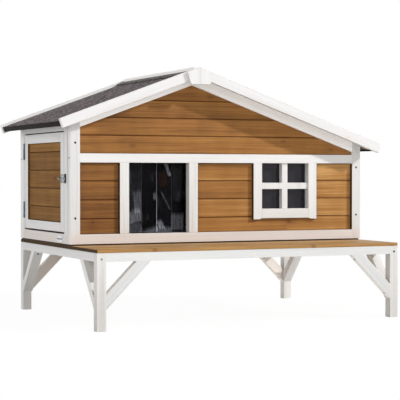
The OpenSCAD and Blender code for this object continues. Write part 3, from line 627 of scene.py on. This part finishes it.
# %% Felt and ridge strip
def felt(name, tones, seed, edge_bitumen):
    finish = Finish(name, Roughness=0.9, Specular_IOR_Level=0.2)
    place = finish.place()
    x, y, z = finish.axes()
    grit = finish.noise(place, 620.0, 2.0, 0.7)
    speckle = finish.noise(place, 210.0, 2.0, 0.75)
    drift = finish.noise(finish.vector(x * 140.0, y * 40.0, z * 140.0), 1.0, 2.0, 0.6)
    mottle = finish.noise(place, 9.0 + seed, 3.0, 0.6)
    base = finish.ramp(balance((grit, 1.0), (speckle, 2.4), (drift, 3.0), (mottle, 0.5)), tones)
    if name == "ridge_cap":
        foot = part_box(name)[0][2]
        # Painted shade: a black band at the foot of the cap, under its edge.
        bitumen_and_shade = finish.fade(z, foot + 0.0016, foot + 0.0032, 1.0, 0.0)
    else:
        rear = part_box("roof_felt_left")[1][1]
        bitumen_and_shade = finish.fade(y, rear - 0.016, rear - 0.008)
    bitumen_and_shade = facing(finish, 0, 0.55, 0.75) * edge_bitumen + bitumen_and_shade * 0.8
    base = finish.mix(bitumen_and_shade, base, rgba(26, 23, 22))
    relief = grit * 0.4 + speckle * 0.6
    return finish.link(Base_Color=base, Normal=finish.bump(relief, 0.55, 0.0015))


ROOF_TONES = stops(EVEN_PLACES, (24, 19, 21), (76, 68, 71), (139, 127, 129))
RIDGE_TONES = stops(EVEN_PLACES, (66, 63, 62), (100, 97, 95), (134, 130, 128))
ROOF_FELT = felt("roof_felt", ROOF_TONES, 0.0, 0.97)
RIDGE_FELT = felt("ridge_cap", RIDGE_TONES, 2.0, 0.0)
print("felt ready")

# %% [markdown]
# ## Metal
# The fittings are zinc plated. Zinc is a bright, slightly blue metal with a fine brushed or
# spangled surface and dull spots where it has been handled. The frame's screws are darker, with an
# oily sheen, and so is the plate of the latch's keeper, whose staple the bolt has rubbed bright.

# %% Zinc and steel
KEEPER_FACE_X = -0.5984
RUBBED_BRIGHT = (196, 202, 202)


def plated(name, light, dark, roughness, scale, bright_beyond=None):
    finish = Finish(name, Metallic=1.0)
    place = finish.place()
    spangle = finish.noise(place, scale, 3.0, 0.6)
    smear = finish.noise(place, 60.0, 2.0)
    base = finish.mix(finish.fade(smear, 0.35, 0.7), rgba(*light), rgba(*dark))
    if bright_beyond:
        base = finish.near(base, finish.axes()[0], bright_beyond - 0.0002, bright_beyond, 1.0,
                           RUBBED_BRIGHT)
    rough = spangle * 0.25 + (roughness - 0.12)
    return finish.link(Base_Color=base, Roughness=rough, Normal=finish.bump(spangle, 0.15, 0.0003))


ZINC = plated("zinc", (222, 226, 230), (188, 194, 200), 0.34, 900.0)
HINGE_STEEL = plated("hinge_steel", (128, 140, 150), (92, 103, 112), 0.42, 700.0)
STEEL = plated("dark_steel", (74, 74, 78), (40, 40, 44), 0.42, 800.0)
SCREW_STEEL = plated("screw_steel", (46, 46, 50), (22, 22, 25), 0.50, 800.0)
LATCH_STEEL = plated("latch_steel", RUBBED_BRIGHT, (96, 100, 100), 0.36, 260.0)
KEEPER_STEEL = plated("keeper_steel", (46, 46, 50), (22, 22, 25), 0.50, 800.0, KEEPER_FACE_X)
NAIL = plated("nail_steel", (150, 146, 144), (84, 80, 80), 0.50, 900.0)
print("metals ready")

# %% [markdown]
# ## Clear sheet
# The window pane is a sheet of smoked acrylic in front of a dark room. Its nearly opaque dark grey
# is the tint and painted shade for that room, so it reads as a smooth dark grey. The curtain strips
# are soft vinyl with the same smoky tint, and their nearly opaque near-black is painted shade for
# the dark room too. Used strips are hazed and scuffed, most of all towards their lower ends, where
# a cat pushes through, and their cut edges get a painted shine where they gather the light. Both
# are masks on Alpha and on the colour, which a strip keeps when it swings.

# %% Pane
def clear_pane():
    # Painted shade: a nearly opaque dark grey, for the dark room behind as well as the tint.
    finish = Finish("clear_pane", Base_Color=rgba(42, 40, 46), Specular_IOR_Level=0.25)
    dust = finish.noise(finish.place(), 40.0, 4.0, 0.6)
    return finish.link(Alpha=finish.fade(dust, 0.35, 0.8, 0.80, 0.90), Roughness=dust * 0.12 + 0.05)


PANE = clear_pane()
print("pane ready")

# %% Curtain strips
STRIP_LEFT = -0.3715
STRIP_PITCH = 0.0595
# For each strip: how bright its left edge is, its scuffed patches, and for one a warm patch too. A
# patch is a start and an end as shares of the strip's width, the lean of its sides, a foot and a top
# in metres, the tilt of its top, and a strength.
STRIP_WEAR = (
    (0.14, ((-0.20, 1.20, 0.0, 0.300, 0.360, 0.0, 0.24), (0.05, 1.20, 0.0, 0.358, 0.404, 0.016, 0.52),
            (0.50, 1.20, 1.5, 0.392, 0.474, 0.0, 0.38), (-0.20, 1.20, 0.0, 0.300, 0.600, 0.0, 0.06),
            (0.20, 0.34, 2.0, 0.500, 0.560, 0.0, 0.12)), None),
    (0.24, ((-0.20, 1.20, 0.0, 0.300, 0.334, 0.020, 0.55), (0.80, 1.20, 0.0, 0.443, 0.466, 0.0, 0.50)),
     None),
    (0.95, ((-0.20, 1.20, 0.0, 0.300, 0.340, -0.004, 0.62), (0.10, 0.50, 7.0, 0.335, 0.364, 0.0, 0.80),
            (0.64, 0.86, 6.3, 0.530, 0.586, 0.0, 0.70), (0.60, 0.70, 8.6, 0.405, 0.470, 0.0, 0.30)),
     (0.18, 0.72, 1.6, 0.492, 0.552, 0.02, 0.95)),
    (0.20, ((-0.20, 0.84, 0.0, 0.328, 0.388, -0.006, 0.48), (0.1, 0.7, 0.0, 0.44, 0.56, 0.0, 0.04)),
     None),
)


def clear_strip(number, edge, patches, warm):
    finish = Finish(f"clear_strip_{number}", Specular_IOR_Level=0.05)
    x, y, z = finish.axes()
    seed = number * 7.3
    wander = finish.noise(finish.vector(x * 26.0 + seed, y * 16.0, z * 12.0), 1.0, 3.0, 0.55)
    scuff = finish.noise(finish.vector(x * 210.0 + seed, y * 85.0, z * 26.0), 1.0, 3.0, 0.6)
    share = finish.math("FRACT", (x - STRIP_LEFT) / STRIP_PITCH)
    cloud = finish.fade(wander, 0.56, 0.72) * 0.12

    def patch(start, end, lean, foot, top, tilt, strength):
        sway = share + (z - (foot + top) / 2) * lean + (wander - 0.5) * 0.12
        rise = z - (share - 0.5) * tilt + (wander - 0.5) * 0.020
        inside = finish.fade(sway, start - 0.05, start + 0.05)
        inside = inside * finish.fade(sway, end - 0.05, end + 0.05, 1.0, 0.0)
        inside = inside * finish.fade(rise, foot - 0.003, foot + 0.004)
        inside = inside * finish.fade(rise, top - 0.012, top + 0.010, 1.0, 0.0)
        return inside * finish.fade(scuff, 0.30, 0.66, 0.35, 1.0) * strength

    for numbers in patches:
        cloud = cloud + patch(*numbers)
    from_edge = share * STRIP_PITCH
    width = finish.fade(z, 0.335, 0.352, 0.0022, 0.0)
    shine = finish.fade(from_edge - width, 0.0014, 0.0034, edge, 0.0)
    shine = shine * finish.fade(z, 0.34, 0.50, 1.0, 0.45)
    # Near-black where clear: the smoky tint, and painted shade for the dark room behind.
    milk = finish.mix(cloud, rgba(6, 5, 8), rgba(118, 122, 132))
    if warm:
        milk = finish.mix(patch(*warm), milk, rgba(34, 22, 12))
    base = finish.mix(shine, milk, rgba(168, 170, 178))
    # A painted shine along the strips' lower cut end.
    base = finish.near(base, z, 0.3238, 0.3256, 0.40, (150, 150, 150))
    alpha = cloud * 0.20 + shine * 0.2 + 0.78
    return finish.link(Base_Color=base, Alpha=alpha, Roughness=scuff * 0.3 + 0.10)


STRIP = [clear_strip(i + 1, *wear) for i, wear in enumerate(STRIP_WEAR)]
print("clear sheets ready")

# %% [markdown]
# ## Dressing the timber
# Sawn and planed timber never has a knife edge: a plane or sandpaper has taken it off. Each frame
# timber keeps its solid, and modifiers ease its edges on top: a weld joins the faces, a planar
# pass joins the triangles of each flat face, and a small bevel rounds the edges.

# %% Ease the edges and hand out the finishes
def round_edges(piece, width, segments=2, sharp=30.0):
    """A bevel on every edge that turns by more than the sharp angle."""
    bevel = piece.modifiers.new("rounded", "BEVEL")
    bevel.width = width
    bevel.segments = segments
    bevel.limit_method = "ANGLE"
    bevel.angle_limit = math.radians(sharp)


def dress(name, material, ease, segments=2):
    node = nodes[name]
    node.data.materials.clear()
    node.data.materials.append(material)
    if ease:
        weld = node.modifiers.new("weld", "WELD")
        weld.merge_threshold = 0.00001
        flat = node.modifiers.new("flat", "DECIMATE")
        flat.decimate_type = "DISSOLVE"
        flat.angle_limit = math.radians(1.0)
        round_edges(node, ease, segments, 40.0)


PAINTED = {
    "leg": ["leg_front_left", "leg_front_right"],
    "rear_leg": ["leg_rear_left", "leg_rear_right"],
    "post": ["post_front_left", "post_front_right", "post_rear_left", "post_rear_right"],
    "stile": ["entrance_stiles", "window_stiles", "window_bars", "left_stiles", "right_stiles",
              "rear_stud", "door_stiles", "apex_plate"],
    "rail": ["front_rails", "rear_rails"],
    "apron": ["apron_front", "apron_rear"],
    "side": ["side_aprons", "left_rails", "right_rails", "door_rails", "door_stops"],
    "ridge": ["ridge_batten"],
    "barge": ["front_bargeboards"],
    "rear_barge": ["rear_bargeboards"],
    "trim": ["front_gable_trims", "rear_gable_trims"],
    "long_brace": ["front_rear_braces"],
    "side_brace": ["side_braces"],
}
for kind, names in PAINTED.items():
    for name in names:
        dress(name, WHITE[kind], 0.0012)
for name, board in (("front_wall_planks", "wall"), ("front_gable_planks", "gable"),
                    ("rear_planks", "rear"), ("right_wall_planks", "side"), ("door_planks", "door")):
    dress(name, STAIN[board], 0.0004, 1)
print("dressed", sum(len(names) for names in PAINTED.values()), "painted nodes")

# %% Dress the other nodes
for material, ease, segments, names in (
        (ROOF_PLY, 0.0006, 2, ("roof_panel_left", "roof_panel_right")),
        (BARE, 0.0012, 2, ("deck_bearers", "ridge_beam")),
        (ROOF_FELT, 0.0010, 3, ("roof_felt_left", "roof_felt_right")),
        (DECK, 0.0022, 3, ("deck_boards",)),
        (PLY, 0.0006, 2, ("floor_panel",)),
        (RIDGE_FELT, 0.0008, 2, ("ridge_cap",)),
        (PANE, 0.0003, 1, ("window_pane",)),
        (ZINC, 0.0002, 1, ("fixing_plate",)),
        (LATCH_STEEL, 0.0003, 2, ("latch_plate",)),
        (KEEPER_STEEL, 0.0003, 2, ("latch_keeper",)),
        (HINGE_STEEL, 0.0, 0, ("hinge_leaves_door", "hinge_leaves_frame")),
        (STEEL, 0.0, 0, ("hinge_pins", "curtain_clamp")),
        (LATCH_STEEL, 0.0, 0, ("latch_bolt",))):
    for name in names:
        dress(name, material, ease, segments)
print("round pieces keep their solids' edges")

# %% [markdown]
# ## Pieces that the timber solids leave out
# The rest is small: tongues in the joints, dark lips, screw heads, felt nails and the curtain
# strips. Two helpers matter most. One takes a node apart into its separate solids, to know where
# each board or screw is. The other turns mesh data into a piece that rides on a body of the frame.

# %% Helpers for new pieces
def loose_solids(name):
    """The corner points of each separate solid of a node, in metres."""
    mesh = nodes[name].data
    keys = [tuple(round(c, 5) for c in vertex.co) for vertex in mesh.vertices]
    leader = {key: key for key in keys}

    def root(key):
        while leader[key] != key:
            leader[key] = leader[leader[key]]
            key = leader[key]
        return key

    for polygon in mesh.polygons:
        first = root(keys[polygon.vertices[0]])
        for corner in polygon.vertices[1:]:
            leader[root(keys[corner])] = first
    groups = {}
    for key in leader:
        groups.setdefault(root(key), []).append(key)
    return [np.array(group) for group in groups.values()]


def spans(name, axis):
    """Where each separate solid of a node starts and ends along an axis, in order."""
    return sorted((solid[:, axis].min(), solid[:, axis].max()) for solid in loose_solids(name))


def new_piece(name, mesh_work, materials, body):
    """Make an object of a bmesh, put its finish on, and let it ride on a body."""
    bmesh.ops.recalc_face_normals(mesh_work, faces=mesh_work.faces)
    mesh = bpy.data.meshes.new(name)
    mesh_work.to_mesh(mesh)
    mesh_work.free()
    for material in materials:
        mesh.materials.append(material)
    piece = bpy.data.objects.new(name, mesh)
    bpy.context.scene.collection.objects.link(piece)
    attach(piece, body)
    return piece


def add_box(mesh_work, low, high):
    """A box between two corners, whose edges a modifier rounds later."""
    made = bmesh.ops.create_cube(mesh_work, size=1.0)["verts"]
    size = Vector(high) - Vector(low)
    middle = (Vector(high) + Vector(low)) / 2
    for vertex in made:
        vertex.co = Vector([vertex.co[i] * size[i] + middle[i] for i in range(3)])


def add_band(mesh_work, upper, lower):
    """Faces between two closed rings of as many points."""
    for i in range(len(upper)):
        j = (i + 1) % len(upper)
        mesh_work.faces.new((upper[i], upper[j], lower[j], lower[i]))


def refinish(mesh_work, first, index):
    """Give the faces from the first one on another of the piece's finishes."""
    mesh_work.faces.ensure_lookup_table()
    for face in mesh_work.faces[first:]:
        face.material_index = index


print("screws", len(spans("frame_screws", 2)), "gable planks", len(spans("front_gable_planks", 2)))

# %% [markdown]
# ### Tongues in the plank joints
# The planks are tongue-and-groove boards. The tongue closes each joint, so no light falls through
# the wall and the joint reads as a dark line. Wherever the top of one plank meets the foot of the
# next, a tongue goes in at the middle of the thickness, over the length that both share.

# %% Tongues
TONGUE_REACH = 0.004
TONGUE_HALF = 0.0015
TONGUE_INSET = 0.0130
SHORTEST_TONGUE = 0.004
WIDEST_JOINT = 0.001
TOUCH = 0.0001


# A dark stain for the plank joints, which also serves as painted shade for the frame's lips.
def joint_stain_and_shade():
    finish = Finish("joint_stain_and_shade", Roughness=0.8, Specular_IOR_Level=0.1)
    patches = finish.noise(finish.place(), 35.0, 3.0, 0.6)
    base = finish.ramp(patches, [(0.3, colour(50, 30, 15)), (0.7, colour(78, 48, 25))])
    return finish.link(Base_Color=base, Normal=finish.bump(patches, 0.2, 0.0004))


JOINT_AND_SHADE = joint_stain_and_shade()


def tongues(node, across, body):
    run = 1 - across
    boards = loose_solids(node)
    work = bmesh.new()
    count = 0
    for lower in boards:
        for upper in boards:
            top, foot = lower[:, 2].max(), upper[:, 2].min()
            if not -TOUCH < foot - top < WIDEST_JOINT:
                continue
            below = lower[lower[:, 2] > top - TOUCH][:, run]
            above = upper[upper[:, 2] < foot + TOUCH][:, run]
            start = max(below.min(), above.min()) + TONGUE_INSET
            end = min(below.max(), above.max()) - TONGUE_INSET
            if end - start < SHORTEST_TONGUE:
                continue
            middle = (lower[:, across].min() + lower[:, across].max()) / 2
            low, high = [0.0] * 3, [0.0] * 3
            low[run], high[run] = start, end
            low[across], high[across] = middle - TONGUE_HALF, middle + TONGUE_HALF
            low[2], high[2] = top - TONGUE_REACH, foot + TONGUE_REACH
            add_box(work, low, high)
            count += 1
    round_edges(new_piece(f"tongues_of_{node}", work, [JOINT_AND_SHADE], body), 0.0004, 1)
    return count


print("tongues", [tongues(node, across, body) for node, across, body in (
    ("front_wall_planks", 1, "house"), ("front_gable_planks", 1, "house"), ("rear_planks", 1, "house"),
    ("right_wall_planks", 0, "house"), ("door_planks", 0, "side_door"))])

# %% [markdown]
# ### Lips of the frame, in painted shade
# The planks lie behind the face of the frame, so each recess has a shaded lip. A thin dark strip
# beside every stile, under the belt rail and under the window is painted shade for it, and two fine
# lines show where the window's sill meets its stiles.

# %% Lips round the recesses
LIP = 0.0012
SHY = 0.0001
SET_BACK = 0.0006
WINDOW_TOE = 0.0045
TOE_NARROWER = 0.014
SILL_HEIGHT = 0.033
SILL_JOINT_HALF = 0.0007


# Thin dark strips of painted shade in the frame's recesses, and two joint lines at the sill.
def painted_shade_lips():
    face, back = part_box("front_rails")[0][1] + SET_BACK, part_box("front_wall_planks")[0][1] - SHY
    sill, belt = (corner[2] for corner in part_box("entrance_stiles"))
    uprights = ("post_front_left", "entrance_stiles", "window_stiles", "post_front_right")
    post, jamb, far_jamb, window, far_window, last = sorted(
        span for name in uprights for span in spans(name, 0))
    toe = spans("window_stiles", 2)[0][0]
    base = toe + WINDOW_TOE
    work = bmesh.new()
    for x, side, foot in ((post[1], 1, sill), (jamb[0], -1, sill), (far_jamb[1], 1, sill),
                          (window[0], -1, toe), (far_window[1], 1, toe), (last[0], -1, sill)):
        near, far = sorted((x + side * SHY, x + side * LIP))
        add_box(work, (near, face, foot + SHY), (far, back, belt - 2 * LIP))
    for start, end, top in ((post[1], jamb[0], belt), (far_jamb[1], window[0], belt),
                            (far_window[1], last[0], belt), (window[1], far_window[0], base)):
        add_box(work, (start + 2 * LIP, face, top - LIP), (end - 2 * LIP, back, top - SHY))
    for start, end in ((window[0], window[1] - TOE_NARROWER),
                       (far_window[0] + TOE_NARROWER, far_window[1])):
        add_box(work, (start + SHY, face, toe - LIP), (end - SHY, back, toe - SHY))
    for x in (window[1], far_window[0]):
        add_box(work, (x - SILL_JOINT_HALF, face + SHY, base + 0.001),
                (x + SILL_JOINT_HALF, face + SET_BACK, base + SILL_HEIGHT))
    piece = new_piece("painted_shade_lips", work, [JOINT_AND_SHADE], "house")
    round_edges(piece, 0.0003, 1)
    return len(piece.data.polygons) // 6


print("lips", painted_shade_lips())

# %% [markdown]
# The side door has such lips of painted shade beside its planks, and a painted shadow along its
# latch edge, where a narrow gap parts it from the frame. These ride on the door. The dark lines over
# the sill and under the lintel of its opening are painted shade too, and stay on the house.

# %% Lips of the side door and its opening
# Painted shade: near-black for the shadows in the door's gaps and its opening.
SHADOW = Finish("black_painted_shade", Base_Color=rgba(24, 20, 17), Roughness=0.9).material
EDGE_SHADOW = 0.0016
EDGE_DEPTH = 0.008


def door_lips():
    (outer, latch_y, foot), (inner, hinge_y, head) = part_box("door_stiles")
    front, face = outer + SET_BACK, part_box("door_planks")[0][0] - SHY
    (_, panel_foot), (panel_head, _) = spans("door_rails", 2)
    far = spans("door_stiles", 1)[-1][0]
    near = latch_y + (hinge_y - far)
    work = bmesh.new()
    add_box(work, (front, far - LIP, panel_foot + 2 * LIP), (face, far - SHY, panel_head - LIP))
    add_box(work, (front, near + SHY, panel_foot + SHY), (face, far - SHY, panel_foot + LIP))
    before = len(work.faces)
    add_box(work, (outer + SHY, latch_y - EDGE_SHADOW, foot + LIP),
            (outer + EDGE_DEPTH, latch_y - SHY, head - LIP))
    refinish(work, before, 1)
    round_edges(new_piece("door_lips", work, [JOINT_AND_SHADE, SHADOW], "side_door"), 0.0001, 1)
    rails = spans("left_rails", 2)
    sill, lintel = rails[0][1], rails[-1][0]
    work = bmesh.new()
    for low, high in ((sill + SHY, sill + LIP), (lintel - LIP, lintel - SHY)):
        add_box(work, (outer + 0.0004, latch_y, low), (inner - LIP, hinge_y, high))
    round_edges(new_piece("opening_lips", work, [SHADOW], "house"), 0.0003, 1)
    return [round(float(v), 4) for v in (sill, foot, panel_foot, panel_head, head, lintel)]


print("door levels", door_lips())

# %% [markdown]
# ### Screw heads
# The stand and the posts are held by countersunk screws with a cross recess. The solid screws have
# plain heads, so each is drawn again: a rim that is slightly rounded, a cross sunk into it, and a
# short shank. The place and direction of each come from its solid: the long way through its points
# is the shank, and the wide end is the head. Nobody lines the crosses up, so each head is turned by
# chance, from a fixed seed.

# %% One screw head
chance = random.Random(7)
HEAD_POINTS = 20


def add_screw(work, centre, outward, radius, proud, shank):
    """A head whose face is at the centre, with a cross recess, and a shank under it."""
    spin = Matrix.Rotation(chance.uniform(0.0, math.pi), 3, "Z")
    turn = Vector(outward).to_track_quat("Z", "X").to_matrix() @ spin

    def point(x, y, z):
        return work.verts.new(Vector(centre) + turn @ Vector((x, y, z + proud)))

    def circle(size, z):
        return [point(size * math.cos(a), size * math.sin(a), z)
                for a in (math.tau * i / HEAD_POINTS for i in range(HEAD_POINTS))]

    def cross(arm, half, z):
        corners = []
        for quarter in range(4):
            c, s = math.cos(quarter * math.pi / 2), math.sin(quarter * math.pi / 2)
            for x, y in ((arm, -half), (arm, half), (half, half)):
                corners.append(point(x * c - y * s, x * s + y * c, z))
        return corners

    def ring_edges(loop):
        return [work.edges.new((loop[i], loop[(i + 1) % len(loop)])) for i in range(len(loop))]

    rim = circle(radius * 0.90, 0.0)
    shoulder = circle(radius, -0.07 * radius)
    neck = circle(radius * 0.50, -0.45 * radius)
    tip = circle(radius * 0.50, -0.45 * radius - shank)
    mouth = cross(radius * 0.62, radius * 0.13, 0.0)
    bottom = cross(radius * 0.34, radius * 0.09, -0.40 * radius)
    bmesh.ops.triangle_fill(work, use_beauty=True, edges=ring_edges(rim) + ring_edges(mouth))
    for upper, lower in ((rim, shoulder), (shoulder, neck), (neck, tip), (mouth, bottom)):
        add_band(work, upper, lower)
    work.faces.new(bottom)
    work.faces.new(tip)


print("a head has", HEAD_POINTS, "points round its rim")

# %% [markdown]
# The frame's screws are dark. The two in the bright plate are zinc like it, and those in the left
# half of the stand's front are a duller grey.

# %% All the screws of the frame
NEAR_PLATE = 0.01
HEAD_SUNK = 0.0001


def screw_pose(points):
    """Where a screw's head is, which way it looks, and its radius."""
    middle = points.mean(axis=0)
    along = np.linalg.svd(points - middle, full_matrices=False)[2][0]
    height = (points - middle) @ along
    off = np.linalg.norm(points - middle - np.outer(height, along), axis=1)
    radius, limit = max((off[np.abs(height - end) < 0.00005].max(), end)
                        for end in (height.max(), height.min()))
    outward = along if limit > 0 else -along
    return middle + along * limit, outward, radius


work = bmesh.new()
plate_low, plate_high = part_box("fixing_plate")
deck_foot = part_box("deck_boards")[0][2]
for points in loose_solids("frame_screws"):
    centre, outward, radius = screw_pose(points)
    before = len(work.faces)
    add_screw(work, centre, outward, radius, -HEAD_SUNK, 0.006)
    if all(plate_low[i] - NEAR_PLATE < centre[i] < plate_high[i] + NEAR_PLATE for i in range(3)):
        refinish(work, before, 1)
    elif centre[2] < deck_foot and outward[1] < -0.9 and centre[0] < 0.0:
        refinish(work, before, 2)
heads = new_piece("screw_heads", work, [SCREW_STEEL, ZINC, NAIL], "house")
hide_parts("frame_screws")
print("screw heads drawn, the last with radius", round(float(radius), 4))

# %% [markdown]
# ### Rib of the fixing plate
# The small bright plate on the left bottom rail has a rib of plain, darker steel along its middle,
# which paints the shaded band between the plate's two bright reflections. From a step away the plate
# therefore reads as two bright spots.

# %% The rib
RIB_HALF = 0.0032
RIB_INSET = 0.004


def plate_rib():
    (face, near, foot), (_, far, head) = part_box("fixing_plate")
    middle = (foot + head) / 2
    profile = ((0.0, 1.0), (-0.0012, 0.8), (-0.0022, 0.2), (-0.0020, -0.4), (0.0, -0.7))
    work = bmesh.new()
    ends = [[work.verts.new((face + out, y, middle + RIB_HALF * up)) for out, up in profile]
            for y in (near + RIB_INSET, far - RIB_INSET)]
    add_band(work, *ends)
    for end in ends:
        work.faces.new(end)
    # The rib's darker steel is painted shade between the plate's two reflections.
    round_edges(new_piece("plate_rib", work, [HINGE_STEEL], "house"), 0.0005, 2)
    return round(float(far - near - 2 * RIB_INSET), 4)


print("rib", plate_rib(), "m long")

# %% [markdown]
# ### Screws of the door's fittings
# The hinges and the latch have their own small screws. They are placed from the boxes of the plates
# that they hold: three in each hinge leaf, four round the latch plate and two in the keeper. Each
# set rides with its plate.

# %% Hinge and latch screws
HINGE_Y = 0.3437
LEAF_X = -0.5845
LATCH_FACE_X = -0.5982
SMALL_SHANK = 0.002


def small_screws(name, spots, outward, radius, proud, material, body):
    work = bmesh.new()
    for spot in spots:
        add_screw(work, spot, outward, radius, proud, SMALL_SHANK)
    new_piece(name, work, [material], body)
    print(name, len(spots))


hinge_levels = [(foot + head) / 2 for foot, head in spans("hinge_leaves_door", 2)]
for body, way in (("side_door", 1.0), ("house", -1.0)):
    spots = [(LEAF_X, HINGE_Y - way * 0.00012, level + up)
             for level in hinge_levels for up in (-0.022, 0.0, 0.022)]
    small_screws(f"hinge_screws_{body}", spots, (0, way, 0), 0.0028, 0.00003, ZINC, body)
low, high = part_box("latch_plate")
spots = [(LATCH_FACE_X, y, z) for y in (low[1] + 0.0085, high[1] - 0.0085)
         for z in (low[2] + 0.0045, high[2] - 0.0045)]
small_screws("latch_screws", spots, (-1, 0, 0), 0.0026, 0.0004, STEEL, "side_door")
low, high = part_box("latch_keeper")
spots = [(LATCH_FACE_X, (low[1] + high[1]) / 2, z) for z in (low[2] + 0.0055, high[2] - 0.0055)]
small_screws("keeper_screws", spots, (-1, 0, 0), 0.0030, 0.0004, STEEL, "house")

# %% [markdown]
# ### Felt nails
# Roofing felt is nailed with short nails whose heads are broad and slightly domed, so that they
# press the felt down without tearing it. They run along the eaves, the bargeboards and both edges
# of the ridge strip. A nail's height comes from the slope's plane, which lies as far out as the
# highest of the felt's corners, measured square to the slope.

# %% Nails on the slopes
PITCH = {-1: math.radians(20.0), 1: math.radians(19.4966)}
NAIL_RADIUS = 0.0042
NAIL_POINTS = 16
NAIL_RINGS = ((1.0, -0.0006), (1.0, 0.0002), (0.82, 0.00055), (0.45, 0.00085))


def add_nail(work, centre, outward):
    """A broad head of four rings that rises to a low dome."""
    turn = Vector(outward).to_track_quat("Z", "X").to_matrix()
    angles = [math.tau * i / NAIL_POINTS for i in range(NAIL_POINTS)]
    rings = [[work.verts.new(Vector(centre) + turn @ Vector(
        (NAIL_RADIUS * share * math.cos(a), NAIL_RADIUS * share * math.sin(a), rise)))
        for a in angles] for share, rise in NAIL_RINGS]
    for lower, upper in zip(rings, rings[1:]):
        add_band(work, lower, upper)
    work.faces.new(rings[-1])
    work.faces.new(rings[0])


def slope_plane(name, side):
    """The outward direction of a slope and how far it lies along it."""
    normal = np.array([side * math.sin(PITCH[side]), 0.0, math.cos(PITCH[side])])
    reach = max(float(np.dot(normal, vertex.co)) for vertex in nodes[name].data.vertices)
    return normal, reach


front_y, rear_y = (corner[1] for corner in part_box("roof_felt_left"))
cap_low, cap_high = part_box("ridge_cap")
work = bmesh.new()
nails = 0
for side, name, cap_edge in ((-1, "roof_felt_left", cap_low[0]), (1, "roof_felt_right", cap_high[0])):
    normal, reach = slope_plane(name, side)
    low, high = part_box(name)
    eave = low[0] if side < 0 else high[0]
    spots = [(eave - side * 0.024, y) for y in np.linspace(front_y + 0.03, rear_y - 0.03, 6)]
    spots += [(cap_edge + side * 0.016, y) for y in np.linspace(front_y + 0.05, rear_y - 0.05, 5)]
    for y in (front_y + 0.014, rear_y - 0.014):
        spots += [(x, y) for x in np.linspace(eave - side * 0.15, cap_edge + side * 0.08, 4)]
    for x, y in spots:
        x += chance.uniform(-0.004, 0.004)
        z = (reach - normal[0] * x) / normal[2]
        add_nail(work, (x, y + chance.uniform(-0.004, 0.004), z), normal)
        nails += 1
new_piece("felt_nails", work, [NAIL], "house")
print("felt nails", nails)

# %% [markdown]
# ### Curtain strips
# Each strip is a soft vinyl ribbon. It has been rolled up in its packing, so it never hangs quite
# flat: it is bowed across its width, and its lower end swings out a little to one side. A grid of
# points bent by two small curves gives that, front and back, and the sides close it. It stands for
# the stiff solid strip, hangs from the same line and moves with it.

# %% Soft strips
STRIP_COLUMNS = 12
STRIP_ROWS = 28
STRIP_THICKNESS = 0.0016
SIDE_PLAY = 0.0003
END_PLAY = 0.0005


def soft_strip(number, bow, sweep, twist):
    low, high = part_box(f"curtain_strip_{number}")
    middle = (low[1] + high[1]) / 2
    wide = high[0] - low[0] - 2 * SIDE_PLAY
    tall = high[2] - low[2] - 2 * END_PLAY
    work = bmesh.new()

    def point(face, down, over):
        bend = bow * (1 - (2 * over - 1) ** 2) * min(1.0, down * 4) + sweep * down ** 2
        bend += twist * (over - 0.5) * down ** 2
        return work.verts.new((low[0] + SIDE_PLAY + wide * over, middle + bend + face * STRIP_THICKNESS,
                               high[2] - END_PLAY - tall * down))

    sheets = [[[point(face, r / STRIP_ROWS, c / STRIP_COLUMNS) for c in range(STRIP_COLUMNS + 1)]
               for r in range(STRIP_ROWS + 1)] for face in (-0.5, 0.5)]
    near, far = sheets
    for rows in sheets:
        for upper, lower in zip(rows, rows[1:]):
            for c in range(STRIP_COLUMNS):
                work.faces.new((upper[c], upper[c + 1], lower[c + 1], lower[c]))
    for r in range(STRIP_ROWS):
        for c in (0, STRIP_COLUMNS):
            work.faces.new((near[r][c], near[r + 1][c], far[r + 1][c], far[r][c]))
    for r in (0, STRIP_ROWS):
        for c in range(STRIP_COLUMNS):
            work.faces.new((near[r][c], near[r][c + 1], far[r][c + 1], far[r][c]))
    piece = new_piece(f"soft_strip_{number}", work, [STRIP[number - 1]], f"strip_{number}")
    for polygon in piece.data.polygons:
        polygon.use_smooth = True
    round_edges(piece, 0.0004, 2)
    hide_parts(f"curtain_strip_{number}")


for number, bow, sweep, twist in ((1, 0.0020, -0.0030, 0.004), (2, -0.0016, 0.0020, -0.003),
                                  (3, 0.0018, -0.0020, -0.004), (4, -0.0022, 0.0030, 0.003)):
    soft_strip(number, bow, sweep, twist)
print("soft strips", STRIP_COLUMNS * STRIP_ROWS, "cells each")

# %% [markdown]
# ## The last line of measuring
# The visual model must keep the size of the real one, so its box is printed.

# %% Measure and finish
low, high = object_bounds()
print("visual box", [round(v, 3) for v in (*low, *high)])
